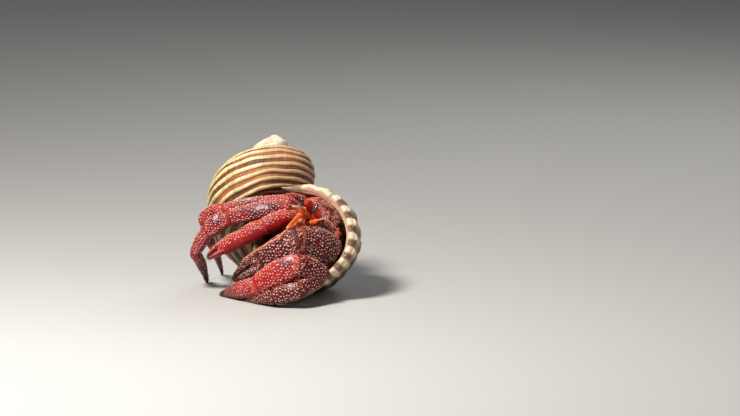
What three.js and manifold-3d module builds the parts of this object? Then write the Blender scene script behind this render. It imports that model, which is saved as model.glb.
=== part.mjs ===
// A land hermit crab (Coenobita) walking in a turban snail shell, at life size.
// Lengths are millimetres and angles are degrees. +Z is up, the crab looks towards -Y, and
// the floor is the plane z = 0, under the middle of the model.

import * as THREE from 'three';
import { mergeVertices } from 'three/addons/utils/BufferGeometryUtils.js';
import Module from 'manifold-3d';

const wasm = await Module();
wasm.setup();

const DEG = Math.PI / 180;

// ---------------------------------------------------------------- driving dimensions

const GAP = 0.3;             // clearance between neighbouring pieces
const LIMB_SIDES = 7;        // facets around a limb segment

// The whorl is a tube that winds down a cone. "turn" counts whorls from the lip to the apex.
const SHELL = {
  apex: [-1.3, 26.6, 53.6],  // tip of the spire
  tilt: 40.0,                // the axis leans back from the vertical
  lean: 2.0,                 // and a little to the side
  lipAngle: -23.2,           // direction of the lip about the axis
  reach: 36.0,               // axis to the outer wall at the lip
  height: 49.5,              // apex to the middle of the lip, along the axis
  tubeShare: 0.589,          // tube radius over reach
  shrink: 0.689,             // how fast the reach falls towards the apex
  shrinkMore: 0.104,
  spireTighten: 0.12,        // quickens the fall near the apex
  spireFrom: 1.2,
  heightPower: 1.245,
  upperStretch: 1.114,       // the tube is taller above its middle than below
  lowerStretch: 0.895,
  shoulder: 0.088,           // bulge of the upper outer side, on the last whorl only
  shoulderTurn: 0.9,
  shoulderOver: 0.5,
  core: 0.02,                // share of the reach that stays solid about the axis
  tuck: 0.14,                // the lower outer side is flatter just behind the lip
  tuckTurn: 0.08,
  tuckLength: 0.07,
  tuckAngle: -30.0,
  tuckSpread: 32.0,
  fillFrom: 75.0,            // past this angle the section rises to meet the whorl above it
  fillSlope: 0.3,
  fillCurve: 1.0,
  fillReach: 0.28,           // share of the reach over which it rises
  spireTop: 2.96,            // the spire is worn to a blunt cone
  spireSlope: 1.04,
  spireRound: 1.5,           // radius of its tip
  spireWidth: 10.0,          // the whorls are worn this far from the axis
  spireEase: 2.5,
  spireTurn: 0.85,           // from this turn on
  spireTurnEase: 0.35,
  spireAngle: -35.0,         // and above this angle of the section
  spireAngleEase: 60.0,
  spireStep: 0.45,           // each whorl of it stands this far above the one before
  spireSink: 0.8,            // and the last one ends under it
  spireSinkTurns: 0.3,
  pieces: 8,                 // the tube is joined from a third of a turn at a time
  piecesPerTurn: 3,
  stepsPerPiece: 5,
};

// The lip is a ring that the last part of the whorl opens into.
const LIP = {
  centre: [10.0, -8.5, 22.0],
  halfWidth: 21.6,
  widthAzimuth: -22.5,
  widthElevation: 3.9,
  halfHeight: 21.9,
  heightAzimuth: 90.0,
  heightElevation: 56.7,
  flare: 0.16,               // turns over which the whorl opens into the ring
  easeFrom: 90.0,            // the far side of the section keeps the whorl's own shape
  easeOver: 40.0,
  drawIn: 0.09,              // the ring is drawn in at its lower outer side
  drawAngle: -55.0,
  drawSpread: 35.0,
  thickness: 0.185,          // share of the ring's radius
  thicken: 0.04,             // more at the outer side, less at the inner
  thickAngle: -20.0,
  collarRows: [[-1.2, 0.88], [-0.4, 0.95], [8.0, 0.88], [14.0, 0.66]],  // [depth, share of radius]
  mouthRows: [[-8, 1.02], [0, 1], [6.8, 0.93], [12.2, 0.8], [15.6, 0.6], [17.0, 0.35]],
  sides: 24,
};

// ---------------------------------------------------------------- small helpers

const lerp = (a, b, t) => a + (b - a) * t;
const add = (p, q, k = 1) => [p[0] + k * q[0], p[1] + k * q[1], p[2] + k * q[2]];
const cross = (p, q) => [p[1] * q[2] - p[2] * q[1], p[2] * q[0] - p[0] * q[2], p[0] * q[1] - p[1] * q[0]];
const size = (p) => Math.hypot(...p);
const unit = (p) => p.map((x) => x / size(p));
const bell = (x) => Math.exp(-x * x);
const smooth = (x) => {
  const t = Math.min(Math.max(x, 0), 1);
  return t * t * (3 - 2 * t);
};

function direction(azimuth, elevation) {
  const flat = Math.cos(elevation * DEG);
  return [flat * Math.cos(azimuth * DEG), flat * Math.sin(azimuth * DEG), Math.sin(elevation * DEG)];
}

// A closed solid from a list of rings with equally many points, capped at both ends.
function loft(rings) {
  const n = rings[0].length;
  const middle = (ring) => ring.reduce((sum, p) => add(sum, p, 1 / n), [0, 0, 0]);
  const points = [...rings.flat(), middle(rings[0]), middle(rings[rings.length - 1])];
  const first = rings.length * n;
  const faces = [];
  for (let j = 0; j < n; j += 1) {
    const k = (j + 1) % n;
    for (let i = 0; i + 1 < rings.length; i += 1) {
      const a = i * n;
      faces.push(a + j, a + k, a + n + k, a + j, a + n + k, a + n + j);
    }
    const last = (rings.length - 1) * n;
    faces.push(first, k, j, first + 1, last + j, last + k);
  }
  return solid(points.flat(), faces);
}

function solid(vertProperties, triVerts) {
  const make = (tris) => new wasm.Manifold(new wasm.Mesh({
    numProp: 3,
    vertProperties: Float32Array.from(vertProperties),
    triVerts: Uint32Array.from(tris),
  }));
  const made = make(triVerts);
  if (made.volume() > 0) return made;
  const turned = [];
  for (let i = 0; i < triVerts.length; i += 3) turned.push(triVerts[i], triVerts[i + 2], triVerts[i + 1]);
  return make(turned);
}

function box(width, depth, height, centre) {
  const shape = new THREE.BoxGeometry(width, depth, height).translate(...centre);
  shape.deleteAttribute('normal');
  shape.deleteAttribute('uv');
  const merged = mergeVertices(shape);
  return solid(merged.attributes.position.array, merged.index.array);
}

// ---------------------------------------------------------------- shell

function shellToWorld([x, y, z]) {
  const [ct, st] = [Math.cos(SHELL.tilt * DEG), Math.sin(SHELL.tilt * DEG)];
  const [cl, sl] = [Math.cos(SHELL.lean * DEG), Math.sin(SHELL.lean * DEG)];
  const back = y * ct + z * st;
  const up = z * ct - y * st;
  return add(SHELL.apex, [x * cl + up * sl, back, up * cl - x * sl]);
}

// How far up the axis the worn spire lies, and how fully it takes the place of the whorl.
function spireHeight(turn, out) {
  const turns = SHELL.pieces / SHELL.piecesPerTurn;
  const sink = SHELL.spireSink * smooth((turn - turns) / SHELL.spireSinkTurns + 1);
  const cone = SHELL.spireTop - SHELL.spireSlope * Math.hypot(out, SHELL.spireRound);
  return cone - SHELL.spireStep * (turns - turn) - sink;
}

function spireShare(turn, angle, out) {
  const near = smooth((SHELL.spireWidth - out) / SHELL.spireEase);
  const late = smooth((turn - SHELL.spireTurn) / SHELL.spireTurnEase);
  return near * late * smooth((angle - SHELL.spireAngle) / SHELL.spireAngleEase);
}

// A point of the whorl's wall: the reach shrinks with the turn, and the section is an oval.
function whorlPoint(turn, angle, grow) {
  const spire = SHELL.spireTighten * Math.max(turn - SHELL.spireFrom, 0) ** 2;
  const reach = SHELL.reach * Math.exp(-SHELL.shrink * turn - SHELL.shrinkMore * turn ** 2 - spire);
  const tube = SHELL.tubeShare * reach;
  const drop = SHELL.height * (reach / SHELL.reach) ** SHELL.heightPower;
  const s = Math.min(angle, SHELL.fillFrom) * DEG;
  const upper = Math.sin(s) > 0;
  const shoulder = SHELL.shoulder * smooth((SHELL.shoulderTurn - turn) / SHELL.shoulderOver);
  const bulge = upper && Math.cos(s) > 0 ? 1 + shoulder * Math.sin(2 * s) ** 2 : 1;
  const tuck = SHELL.tuck * bell((turn - SHELL.tuckTurn) / SHELL.tuckLength)
    * bell((angle - SHELL.tuckAngle) / SHELL.tuckSpread);
  const radius = (tube + grow) * bulge * (1 - tuck);
  const core = SHELL.core * reach;
  let out = Math.max(reach - tube + radius * Math.cos(s), core);
  let z = -drop + radius * (upper ? SHELL.upperStretch : SHELL.lowerStretch) * Math.sin(s);
  if (angle > SHELL.fillFrom) {
    const inwards = (out - core) * Math.min((angle - SHELL.fillFrom) / (180 - SHELL.fillFrom), 1);
    const climb = Math.min(inwards, SHELL.fillReach * reach);
    out -= inwards;
    z += SHELL.fillSlope * climb + SHELL.fillCurve * climb ** 2 / reach;
  }
  z = lerp(z, spireHeight(turn, out) + grow, spireShare(turn, angle, out));
  const around = (SHELL.lipAngle + 360 * turn) * DEG;
  return shellToWorld([out * Math.cos(around), out * Math.sin(around), z]);
}

// A point of the lip's ring, "share" of the way out to its rim.
function lipPoint(angle, share, grow) {
  const s = angle * DEG;
  const fromDraw = ((angle - LIP.drawAngle + 540) % 360) - 180;
  const scale = share * (1 - LIP.drawIn * bell(fromDraw / LIP.drawSpread));
  const wide = direction(LIP.widthAzimuth, LIP.widthElevation);
  const high = direction(LIP.heightAzimuth, LIP.heightElevation);
  const across = add(LIP.centre, wide, (LIP.halfWidth * scale + grow) * Math.cos(s));
  return add(across, high, (LIP.halfHeight * scale + grow) * Math.sin(s));
}

const inward = unit(cross(
  direction(LIP.heightAzimuth, LIP.heightElevation),
  direction(LIP.widthAzimuth, LIP.widthElevation),
));

// The wall, eased into the lip's ring over the outer side of its last stretch.
function wallPoint(turn, angle, grow) {
  const outer = 1 - smooth((Math.abs(angle) - LIP.easeFrom) / LIP.easeOver);
  const ease = Math.max(1 - turn / LIP.flare, 0) ** 2 * outer;
  const here = whorlPoint(turn, angle, grow);
  if (ease === 0) return here;
  const ring = add(lipPoint(angle, 1, grow), inward, -grow);
  return add(here, add(ring, whorlPoint(0, angle, grow), -1), ease);
}

// Angles of the points round a whorl's section, closest together where it shows.
const SECTION_ANGLES = [75, 60, 45, 30, 15, 0, -18, -36, -54, -72, -90, -112, -140, 180, 150, 120, 97];

// A solid of rings straight back from the lip. "open" is the share left open at an angle.
function lipLoft(rows, grow, open = () => 1) {
  const angles = Array.from({ length: LIP.sides }, (_, i) => (i * 360) / LIP.sides);
  return loft(rows.map(([depth, share]) => (
    angles.map((angle) => add(lipPoint(angle, share * open(angle), grow), inward, depth))
  )));
}

const mouthShare = (angle) => (
  1 - LIP.thickness - LIP.thicken * Math.cos((angle - LIP.thickAngle) * DEG)
);

// The union of the whorls and the lip's ring, hollowed at the mouth.
function shellSolid(grow) {
  const collar = LIP.collarRows.map(([depth, share]) => [depth < 0 ? depth - grow : depth, share]);
  let whole = lipLoft(collar, grow);
  for (let piece = 0; piece < SHELL.pieces; piece += 1) {
    const rings = [];
    for (let i = 0; i <= SHELL.stepsPerPiece; i += 1) {
      const turn = (piece + i / SHELL.stepsPerPiece) / SHELL.piecesPerTurn;
      rings.push(SECTION_ANGLES.map((angle) => wallPoint(turn, angle, grow)));
    }
    whole = whole.add(loft(rings));
  }
  const mouth = LIP.mouthRows.map(([depth, share]) => [depth > 0 ? depth - grow : depth, share]);
  return whole.subtract(lipLoft(mouth, -grow, mouthShare));
}

// ---------------------------------------------------------------- limbs

// The claws are the first pair of legs, and two pairs of walking legs follow them.
// Each part of a limb: length, azimuth, elevation, half-heights at start, middle and end,
// half-width over half-height, and how far the middle bows up. A claw's fingers lie one
// over the other: the lower one belongs to the palm and the upper one is the dactyl.
const LIMBS = {
  cheliped_left: {
    root: [16.7, -3.7, 20.2],
    parts: {
      ischium: [7.9, -68, -7, 3.6, 4.0, 3.8, 0.9, 0],
      merus: [5.4, -94, -6, 4.4, 5.0, 4.8, 0.9, 0],
      carpus: [15.0, -147, 16, 5.6, 7.4, 6.2, 0.86, 0.4],
      palm: [15.6, 162, -31, 5.6, 5.3, 4.4, 0.8, 0.3],
      fingers: [15.4, 144, -32, 4.4, 3.7, 1.1, 0.8, 0.6],
    },
  },
  cheliped_right: {
    root: [8.2, -8.5, 27.1],
    parts: {
      ischium: [7.8, -127, 30, 2.4, 2.6, 2.6, 0.9, 0],
      merus: [9.8, -175, -24, 2.8, 3.4, 3.2, 0.8, 0.2],
      carpus: [9.3, 171, -28, 3.0, 3.5, 3.1, 0.8, 0.2],
      palm: [8.1, 161, -29, 2.9, 3.1, 2.8, 0.8, 0.2],
      fingers: [8.2, 151, -34, 2.7, 2.3, 0.9, 0.8, 0.3],
    },
  },
  leg2_right: {
    root: [8.2, -5.5, 27.3],
    parts: {
      ischium: [10.2, -127, 44, 2.2, 2.4, 2.4, 0.9, 0],
      merus: [23.1, 175, -13, 2.5, 3.2, 2.9, 0.75, 0.6],
      carpus: [10.2, 143, -33, 3.0, 3.7, 3.0, 0.75, 0.3],
      propodus: [12.6, 128, -50, 2.9, 2.8, 2.3, 0.8, 0.4],
      dactyl: [22.4, 76, -39, 2.3, 2.1, 0.8, 0.85, 1.4],
    },
  },
  leg3_right: {
    root: [9.3, -1.9, 30.4],
    parts: {
      ischium: [11.3, -124, 29, 2.1, 2.3, 2.3, 0.9, 0],
      merus: [24.7, 172, -10, 2.4, 2.8, 2.6, 0.7, 0.6],
      carpus: [10.8, 132, -22, 2.7, 3.2, 2.7, 0.75, 0.3],
      propodus: [19.4, 82, -38, 2.6, 2.5, 2.1, 0.8, 0.4],
      dactyl: [25.2, 78, -40, 2.0, 1.6, 0.5, 0.85, 1.2],
    },
  },
  leg2_left: {
    root: [15.9, -9.2, 17.5],
    parts: {
      ischium: [5.0, -91, -20, 2.8, 3.0, 3.0, 0.9, 0],
      merus: [11.9, -91, -24, 3.2, 3.8, 3.6, 0.85, 0.2],
      carpus: [10.4, -145, 29, 3.6, 4.5, 4.0, 0.85, 0.3],
      propodus: [19.1, 157, -30, 4.1, 5.0, 4.0, 0.75, 0.4],
      dactyl: [22.2, 131, -16, 3.8, 3.2, 0.9, 0.85, 0.2],
    },
  },
  leg3_left: {
    root: [17.4, -9.5, 16.0],
    parts: {
      ischium: [5.0, -98, -20, 2.6, 2.8, 2.8, 0.9, 0],
      merus: [11.9, -98, -24, 2.9, 3.4, 3.1, 0.85, 0.2],
      carpus: [10.6, -131, -16, 3.1, 3.5, 3.2, 0.85, 0.2],
      propodus: [10.4, 165, -16, 3.1, 3.4, 2.9, 0.8, 0.2],
      dactyl: [18.4, 130, -12, 2.6, 2.1, 0.7, 0.85, 0.3],
    },
  },
};

const ROUND_ENDS = [[0, 0.55], [0.07, 0.9], [0.3, 1], [0.6, 1], [0.93, 0.9], [1, 0.55]];
const BLUNT_ENDS = [[0, 0.8], [0.5, 1], [1, 0.8]];

const FINGER_OVERLAP = 1.5;  // the fingers start this far inside the end of the palm

// A tapering oval tube with rounded ends. "half" is 0 for the whole tube, or 1 and -1 for
// the upper and the lower of two tubes that fill it.
function segmentSolid(start, end, rows, [first, middle, last, flatness, bow], grow, half = 0) {
  const along = unit(add(end, start, -1));
  const side = unit(cross(along, [0, 0, 1]));
  const up = cross(side, along);
  const length = size(add(end, start, -1)) - GAP + 2 * grow;
  const from = add(start, along, GAP / 2 - grow);
  return loft(rows.map(([u, cap]) => {
    const full = cap * (u > 0.5 ? lerp(middle, last, 2 * u - 1) : lerp(first, middle, 2 * u));
    const height = (half === 0 ? full : full / 2 - GAP / 4) + grow;
    const width = flatness * full + grow;
    const lift = bow * 4 * u * (1 - u) + (half * full) / 2;
    const centre = add(add(from, along, u * length), up, lift);
    return Array.from({ length: LIMB_SIDES }, (_, i) => {
      const turn = ((i + 0.5) * 2 * Math.PI) / LIMB_SIDES;
      return add(add(centre, side, width * Math.cos(turn)), up, height * Math.sin(turn));
    });
  }));
}

// ---------------------------------------------------------------- body, eyes and feelers

// The body leans with the crab: its own forward, leftward and upward directions.
const ANTERIOR = direction(-112, 4);
const LEFTWARD = direction(-22, -23.5);
const DORSAL = cross(ANTERIOR, LEFTWARD);

const POLE = Math.PI / 2 - 0.06;   // the first and last rings of an ellipsoid, as an angle

function ellipsoid(centre, axes, radii, grow, rows = 7, sides = 10) {
  const rings = [];
  for (let i = 0; i <= rows; i += 1) {
    const a = lerp(-POLE, POLE, i / rows);
    const ringCentre = add(centre, axes[0], (radii[0] + grow) * Math.sin(a));
    rings.push(Array.from({ length: sides }, (_, j) => {
      const b = (j * 2 * Math.PI) / sides;
      const p = add(ringCentre, axes[1], (radii[1] + grow) * Math.cos(a) * Math.cos(b));
      return add(p, axes[2], (radii[2] + grow) * Math.cos(a) * Math.sin(b));
    }));
  }
  return loft(rings);
}

// A round rod along a smooth path, tapering from one radius to another.
function rod(points, first, last, grow, steps = 10, sides = 6) {
  const path = new THREE.CatmullRomCurve3(points.map((p) => new THREE.Vector3(...p)));
  const rings = [];
  for (let i = 0; i <= steps; i += 1) {
    const centre = path.getPointAt(i / steps).toArray();
    const along = path.getTangentAt(i / steps).toArray();
    const side = unit(cross(along, [0, 0, 1]));
    const up = cross(side, along);
    const radius = lerp(first, last, i / steps) + grow;
    rings.push(Array.from({ length: sides }, (_, j) => {
      const turn = (j * 2 * Math.PI) / sides;
      return add(add(centre, side, radius * Math.cos(turn)), up, radius * Math.sin(turn));
    }));
  }
  return loft(rings);
}

const BODY_CENTRE = [13.8, -2.1, 24.1];
const BODY_RADII = [13.0, 11.5, 12.0];   // forward, leftward and upward
const SHIELD_HEIGHT = 1.5;               // the hard shield is the body above this level
const SHIELD_BLOCK = 40.0;               // larger than the body

// The stout stalk of each eye passes through its middle, and the eye leans to the left of
// upright by some degrees.
const EYES = {
  right: { base: [13.2, -12.8, 33.2], middle: [11.7, -16.0, 36.0], tip: [9.3, -18.8, 37.0], lean: 4 },
  left: { base: [14.3, -13.6, 30.2], middle: [14.9, -16.6, 32.5], tip: [14.3, -19.2, 34.9], lean: 42 },
};
const STALK_RADII = [1.9, 1.3];
const STALK_SHORT = 0.9;     // the stalk ends this far short of the middle of the eye
const CORNEA_RADII = [2.0, 0.7, 1.1];   // half its height, width and depth

// Feelers: points along each, then the radius at its root and at its tip.
const FEELERS = {
  antennule_right: [[[10.6, -14.7, 32.4], [8.9, -20.3, 35.4], [5.9, -24.2, 36.5]], 0.7, 0.4],
  antennule_left: [[[12.2, -15.4, 31.6], [9.2, -20.6, 33.9], [5.4, -24.3, 34.7]], 0.7, 0.4],
  antenna_right: [[[11.1, -13.9, 30.6], [8.5, -18.8, 32.0], [3.9, -25.1, 28.2]], 1.2, 0.6],
  antenna_left: [[[12.6, -14.4, 28.7], [13.3, -19.2, 29.7], [15.2, -21.6, 30.7]], 1.1, 0.8],
  antenna_whip_right: [
    [[3.7, -25.7, 27.9], [0.7, -26.7, 25.1], [-3.3, -26.5, 23.0], [-8.5, -23.1, 19.2], [-12.6, -20.7, 15.6]],
    0.4, 0.28,
  ],
  antenna_whip_left: [
    [[15.4, -22.1, 31.0], [17.8, -22.0, 31.5], [20.4, -21.3, 29.7], [23.0, -19.9, 26.1]],
    0.4, 0.28,
  ],
};

const MOUTHPARTS = [[[10.7, -11.5, 27.6], [7.4, -19.6, 27.6], [5.9, -22.2, 24.6]], 2.6, 1.6];

// The small fourth legs, which keep to the shell's opening.
const HIND_LEG_RADII = [1.4, 0.9];
const HIND_LEGS = {
  leg4_right: [[10.0, -1.0, 35.0], [6.3, -4.7, 37.0], [3.3, -7.7, 37.4]],
  leg4_left: [[19.6, -4.5, 27.2], [22.6, -10.0, 24.4], [21.1, -14.8, 20.7]],
};

// ---------------------------------------------------------------- assembly

const FINISHES = {
  shell: { color: 0xc9a66b, roughness: 0.55 },
  plate: { color: 0x8c1f1c, roughness: 0.45 },
  soft: { color: 0xb9552f, roughness: 0.6 },
  eye: { color: 0x141416, roughness: 0.15 },
  feeler: { color: 0xc8622c, roughness: 0.5 },
};
const BELOW_FLOOR = [200, 200, 50, [0, 0, -25]];

const crab = new THREE.Group();
const placed = [];

function largest(shape) {
  const bodies = shape.decompose();
  return bodies.reduce((best, body) => (body.volume() > best.volume() ? body : best));
}

// Cuts a piece clear of every piece placed before it, then adds it as a named mesh.
function place(name, kind, build) {
  let shape = build(0);
  for (const grown of placed) shape = shape.subtract(grown);
  shape = largest(shape.subtract(box(...BELOW_FLOOR)));
  placed.push(build(GAP));
  const { vertProperties, triVerts } = shape.getMesh();
  const geometry = new THREE.BufferGeometry();
  geometry.setAttribute('position', new THREE.BufferAttribute(vertProperties, 3));
  geometry.setIndex(new THREE.BufferAttribute(triVerts, 1));
  const mesh = new THREE.Mesh(geometry, new THREE.MeshStandardMaterial({ ...FINISHES[kind], metalness: 0 }));
  mesh.name = name;
  crab.add(mesh);
}

place('shell', 'shell', shellSolid);

for (const [limb, { root, parts }] of Object.entries(LIMBS)) {
  let from = root;
  for (const [part, [length, azimuth, elevation, ...shape]] of Object.entries(parts)) {
    const along = direction(azimuth, elevation);
    const to = add(from, along, length);
    if (part === 'palm') {
      const [reach, turn, rise, ...fingers] = parts.fingers;
      const pointing = direction(turn, rise);
      const tip = add(to, pointing, reach);
      const knuckle = add(to, pointing, -FINGER_OVERLAP);
      const finger = (grow, half) => segmentSolid(knuckle, tip, ROUND_ENDS, fingers, grow, half);
      const [palmStart, palmEnd] = [from, to];
      const palm = (grow) => segmentSolid(palmStart, palmEnd, ROUND_ENDS, shape, grow);
      place(`${limb}_propodus`, 'plate', (grow) => palm(grow).add(finger(grow, -1)));
      place(`${limb}_dactyl`, 'plate', (grow) => finger(grow, 1));
    } else if (part !== 'fingers') {
      const rows = part === 'ischium' ? BLUNT_ENDS : ROUND_ENDS;
      const start = from;
      place(`${limb}_${part}`, 'plate', (grow) => segmentSolid(start, to, rows, shape, grow));
    }
    from = to;
  }
}

for (const [side, { base, middle, tip, lean }] of Object.entries(EYES)) {
  const tall = direction(0, 90 - lean);
  const axes = [tall, direction(0, -lean), direction(-90, 0)];
  place(`eye_${side}`, 'eye', (grow) => ellipsoid(tip, axes, CORNEA_RADII, grow, 5, 8));
  const path = [base, middle, add(tip, unit(add(tip, middle, -1)), -STALK_SHORT)];
  place(`eyestalk_${side}`, 'plate', (grow) => rod(path, ...STALK_RADII, grow, 4, 7));
}

for (const [name, [path, first, last]] of Object.entries(FEELERS)) {
  place(name, 'feeler', (grow) => rod(path, first, last, grow, 2 * path.length));
}
place('mouthparts', 'plate', (grow) => rod(...MOUTHPARTS, grow, 4, 7));
for (const [name, path] of Object.entries(HIND_LEGS)) {
  place(name, 'plate', (grow) => rod(path, ...HIND_LEG_RADII, grow, 5));
}

const bodyAxes = [ANTERIOR, LEFTWARD, DORSAL];
const onBody = ([forward, left, up]) => (
  add(add(add(BODY_CENTRE, ANTERIOR, forward), LEFTWARD, left), DORSAL, up)
);
// The block above the shield's lower edge.
const shieldBlock = (grow) => {
  const half = SHIELD_BLOCK / 2 + grow;
  const square = [[-1, 0], [1, 0], [1, 1], [-1, 1]];
  return loft([-half, half].map((forward) => square.map(([left, top]) => (
    onBody([forward, left * half, SHIELD_HEIGHT - grow + top * SHIELD_BLOCK])
  ))));
};
const bodySolid = (grow) => ellipsoid(BODY_CENTRE, bodyAxes, BODY_RADII, grow);
place('shield', 'plate', (grow) => bodySolid(grow).intersect(shieldBlock(grow)));
place('thorax', 'soft', bodySolid);

export default crab;
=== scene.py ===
"""A land hermit crab walking in a turban snail shell, at life size.

Sizes in this file are millimetres and angles are degrees, in the frame of the solids: +Z up, the
crab looking towards -Y. Each piece is one mesh of surfaces worked out on grids; MM turns it to metres.
In the names of values, FROM or TURN says where something sets in, and OVER or EASE how long that takes.
"""

import bpy
import numpy as np
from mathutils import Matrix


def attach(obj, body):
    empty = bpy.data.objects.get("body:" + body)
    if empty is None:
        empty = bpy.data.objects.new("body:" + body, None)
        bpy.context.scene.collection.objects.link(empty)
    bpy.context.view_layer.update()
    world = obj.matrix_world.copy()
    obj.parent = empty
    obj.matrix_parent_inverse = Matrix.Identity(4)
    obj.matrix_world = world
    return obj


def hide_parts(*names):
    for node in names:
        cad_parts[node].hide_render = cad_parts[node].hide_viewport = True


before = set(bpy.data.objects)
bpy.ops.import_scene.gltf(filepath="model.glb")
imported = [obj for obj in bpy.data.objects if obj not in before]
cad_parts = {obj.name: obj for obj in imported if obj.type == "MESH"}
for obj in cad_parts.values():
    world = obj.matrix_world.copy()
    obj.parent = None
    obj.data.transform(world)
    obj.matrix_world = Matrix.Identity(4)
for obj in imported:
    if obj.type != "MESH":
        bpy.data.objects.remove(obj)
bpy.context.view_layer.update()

MM = 0.001
DEG = np.pi / 180
UP = np.array([0.0, 0.0, 1.0])
GAP = 0.3                       # clearance between neighbouring solids
NEAR_ZERO = 1e-12
rng = np.random.default_rng(7)


# ---------------------------------------------------------------- small helpers


def lerp(a, b, t):
    """From a to b by the share t."""
    return a + (b - a) * t


def unit(v):
    """Each vector over its length."""
    return v / np.maximum(np.linalg.norm(v, axis=-1, keepdims=True), NEAR_ZERO)


def dot(a, b):
    """Dot products over the last axis, which stays as an axis of one."""
    return np.sum(a * b, axis=-1, keepdims=True)


def smooth(x):
    """0 below 0, 1 above 1, and an s-curve between."""
    t = np.clip(x, 0.0, 1.0)
    return t * t * (3 - 2 * t)


def within(x, start, over, end, out):
    """0 up to the start, eased to 1 over a stretch, and from the end eased back to 0."""
    return smooth((x - start) / over) * (1 - smooth((x - end) / out))


def bell(x):
    """1 at 0, falling to nothing within about 2."""
    return np.exp(-x * x)


def direction(azimuth, elevation):
    """The unit vector at an azimuth from +X and an elevation over level."""
    a, e = azimuth * DEG, elevation * DEG
    return np.array([np.cos(e) * np.cos(a), np.cos(e) * np.sin(a), np.sin(e)])


def wrapped(angle):
    """The same angle between -180 and 180."""
    return (angle + 180) % 360 - 180


def ring_angles(sides):
    """Angles in radians, evenly spaced round a ring."""
    return np.arange(sides) * 2 * np.pi / sides


def strays(shape, by):
    """Random steps up to so far either way."""
    return rng.uniform(-by, by, shape)


WAVES = 7
WAVE_SPREAD = (0.7, 1.4)        # each wave's frequency, over that of the wavelength asked for
WAVE_GAIN = 1.8                 # makes up for waves that cancel


def lumps(points, wavelength, seed):
    """A smooth random field between about -1 and 1: the mean of sine waves in random directions,
    each about one wavelength long."""
    draw = np.random.default_rng(seed)
    ways = unit(draw.normal(size=(WAVES, 3))) * 2 * np.pi / wavelength
    ways *= draw.uniform(*WAVE_SPREAD, (WAVES, 1))
    shifts = draw.uniform(0, 2 * np.pi, WAVES)
    return np.sin(points @ ways.T + shifts).mean(-1) * WAVE_GAIN


def round_ends(share, start, end):
    """How full a body is along its length: 1, but a quarter round over a share at either end."""
    opening = np.clip(1 - share / start, 0, 1)
    closing = np.clip(1 - (1 - share) / end, 0, 1)
    return np.sqrt((1 - opening ** 2) * (1 - closing ** 2))


# ---------------------------------------------------------------- meshes


class Surface:
    """Points, quads, each quad's corners on a flat unit square, and paints: shares from 0 to 1 over
    the points, which the finishes read by name."""

    def __init__(self, points, faces, flat, **paints):
        self.points = points.reshape(-1, 3)
        self.faces = faces
        self.flat = flat
        self.paints = {
            name: np.broadcast_to(paint, points.shape[:-1]).ravel() for name, paint in paints.items()
        }


def quads(rows, columns):
    """Quads between neighbouring rows and columns, where the last column meets the first, and the
    row and column of each corner before it wraps round."""
    i, j = np.mgrid[0:rows - 1, 0:columns]
    down = np.stack([i, i, i + 1, i + 1], -1).reshape(-1, 4)
    across = np.stack([j, j + 1, j + 1, j], -1).reshape(-1, 4)
    return down * columns + across % columns, down, across


def tube(points, **paints):
    """A closed surface from rows of rings, turned so that its quads face out. An end ring that is a
    single place closes itself."""
    rows, columns = points.shape[:2]
    faces, down, across = quads(rows, columns)
    flat = np.stack([across / columns, down / (rows - 1)], -1)
    corners = points.reshape(-1, 3)
    a, b, c, d = (corners[faces[:, i]] for i in range(4))
    volume = np.sum(a * np.cross(b, c)) + np.sum(a * np.cross(c, d))
    if volume < 0:
        faces, flat = faces[:, ::-1], flat[:, ::-1]
    return Surface(points, faces, flat, **paints)


def small_shapes(grid, flat, **paints):
    """Many like open shapes, each rows of rings, from an array of shape, row and ring point."""
    count, rows, columns = grid.shape[:3]
    faces = quads(rows, columns)[0][None] + (np.arange(count) * rows * columns)[:, None, None]
    faces = faces.reshape(-1, 4)
    return Surface(grid, faces, flat.reshape(-1, 2)[faces], **paints)


CELL_MARGIN = 0.03              # left free round a surface's square of the flat map


def piece(name, surfaces, finish, slot, *nodes):
    """Joins surfaces into one named mesh with their paints, gives each a square of the flat map of
    its own, and stands the mesh in for its solids."""
    cells = int(np.ceil(np.sqrt(len(surfaces))))
    points, faces, flats = [], [], []
    start = 0
    for k, surface in enumerate(surfaces):
        corner = np.array([k % cells, k // cells])
        points.append(surface.points)
        faces.append(surface.faces + start)
        flats.append((corner + lerp(CELL_MARGIN, 1 - CELL_MARGIN, surface.flat)) / cells)
        start += len(surface.points)
    points, faces, flats = np.concatenate(points), np.concatenate(faces), np.concatenate(flats)
    points[:, 2] = np.maximum(points[:, 2], 0.0)
    mesh = bpy.data.meshes.new(name)
    mesh.vertices.add(len(points))
    mesh.vertices.foreach_set("co", (points * MM).astype(np.float32).ravel())
    mesh.loops.add(faces.size)
    mesh.loops.foreach_set("vertex_index", faces.ravel().astype(np.int32))
    mesh.polygons.add(len(faces))
    mesh.polygons.foreach_set("loop_start", np.arange(0, faces.size, 4, dtype=np.int32))
    mesh.polygons.foreach_set("use_smooth", np.ones(len(faces), bool))
    mesh.update(calc_edges=True)
    for paint in sorted({paint for surface in surfaces for paint in surface.paints}):
        values = [surface.paints.get(paint, np.zeros(len(surface.points))) for surface in surfaces]
        layer = mesh.attributes.new(paint, "FLOAT", "POINT")
        layer.data.foreach_set("value", np.concatenate(values).astype(np.float32))
    layer = mesh.uv_layers.new(name="OFBake")
    layer.uv.foreach_set("vector", flats.astype(np.float32).ravel())
    mesh.materials.append(finish)
    made = bpy.data.objects.new(name, mesh)
    bpy.context.scene.collection.objects.link(made)
    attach(made, "root")
    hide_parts(*nodes)


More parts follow.
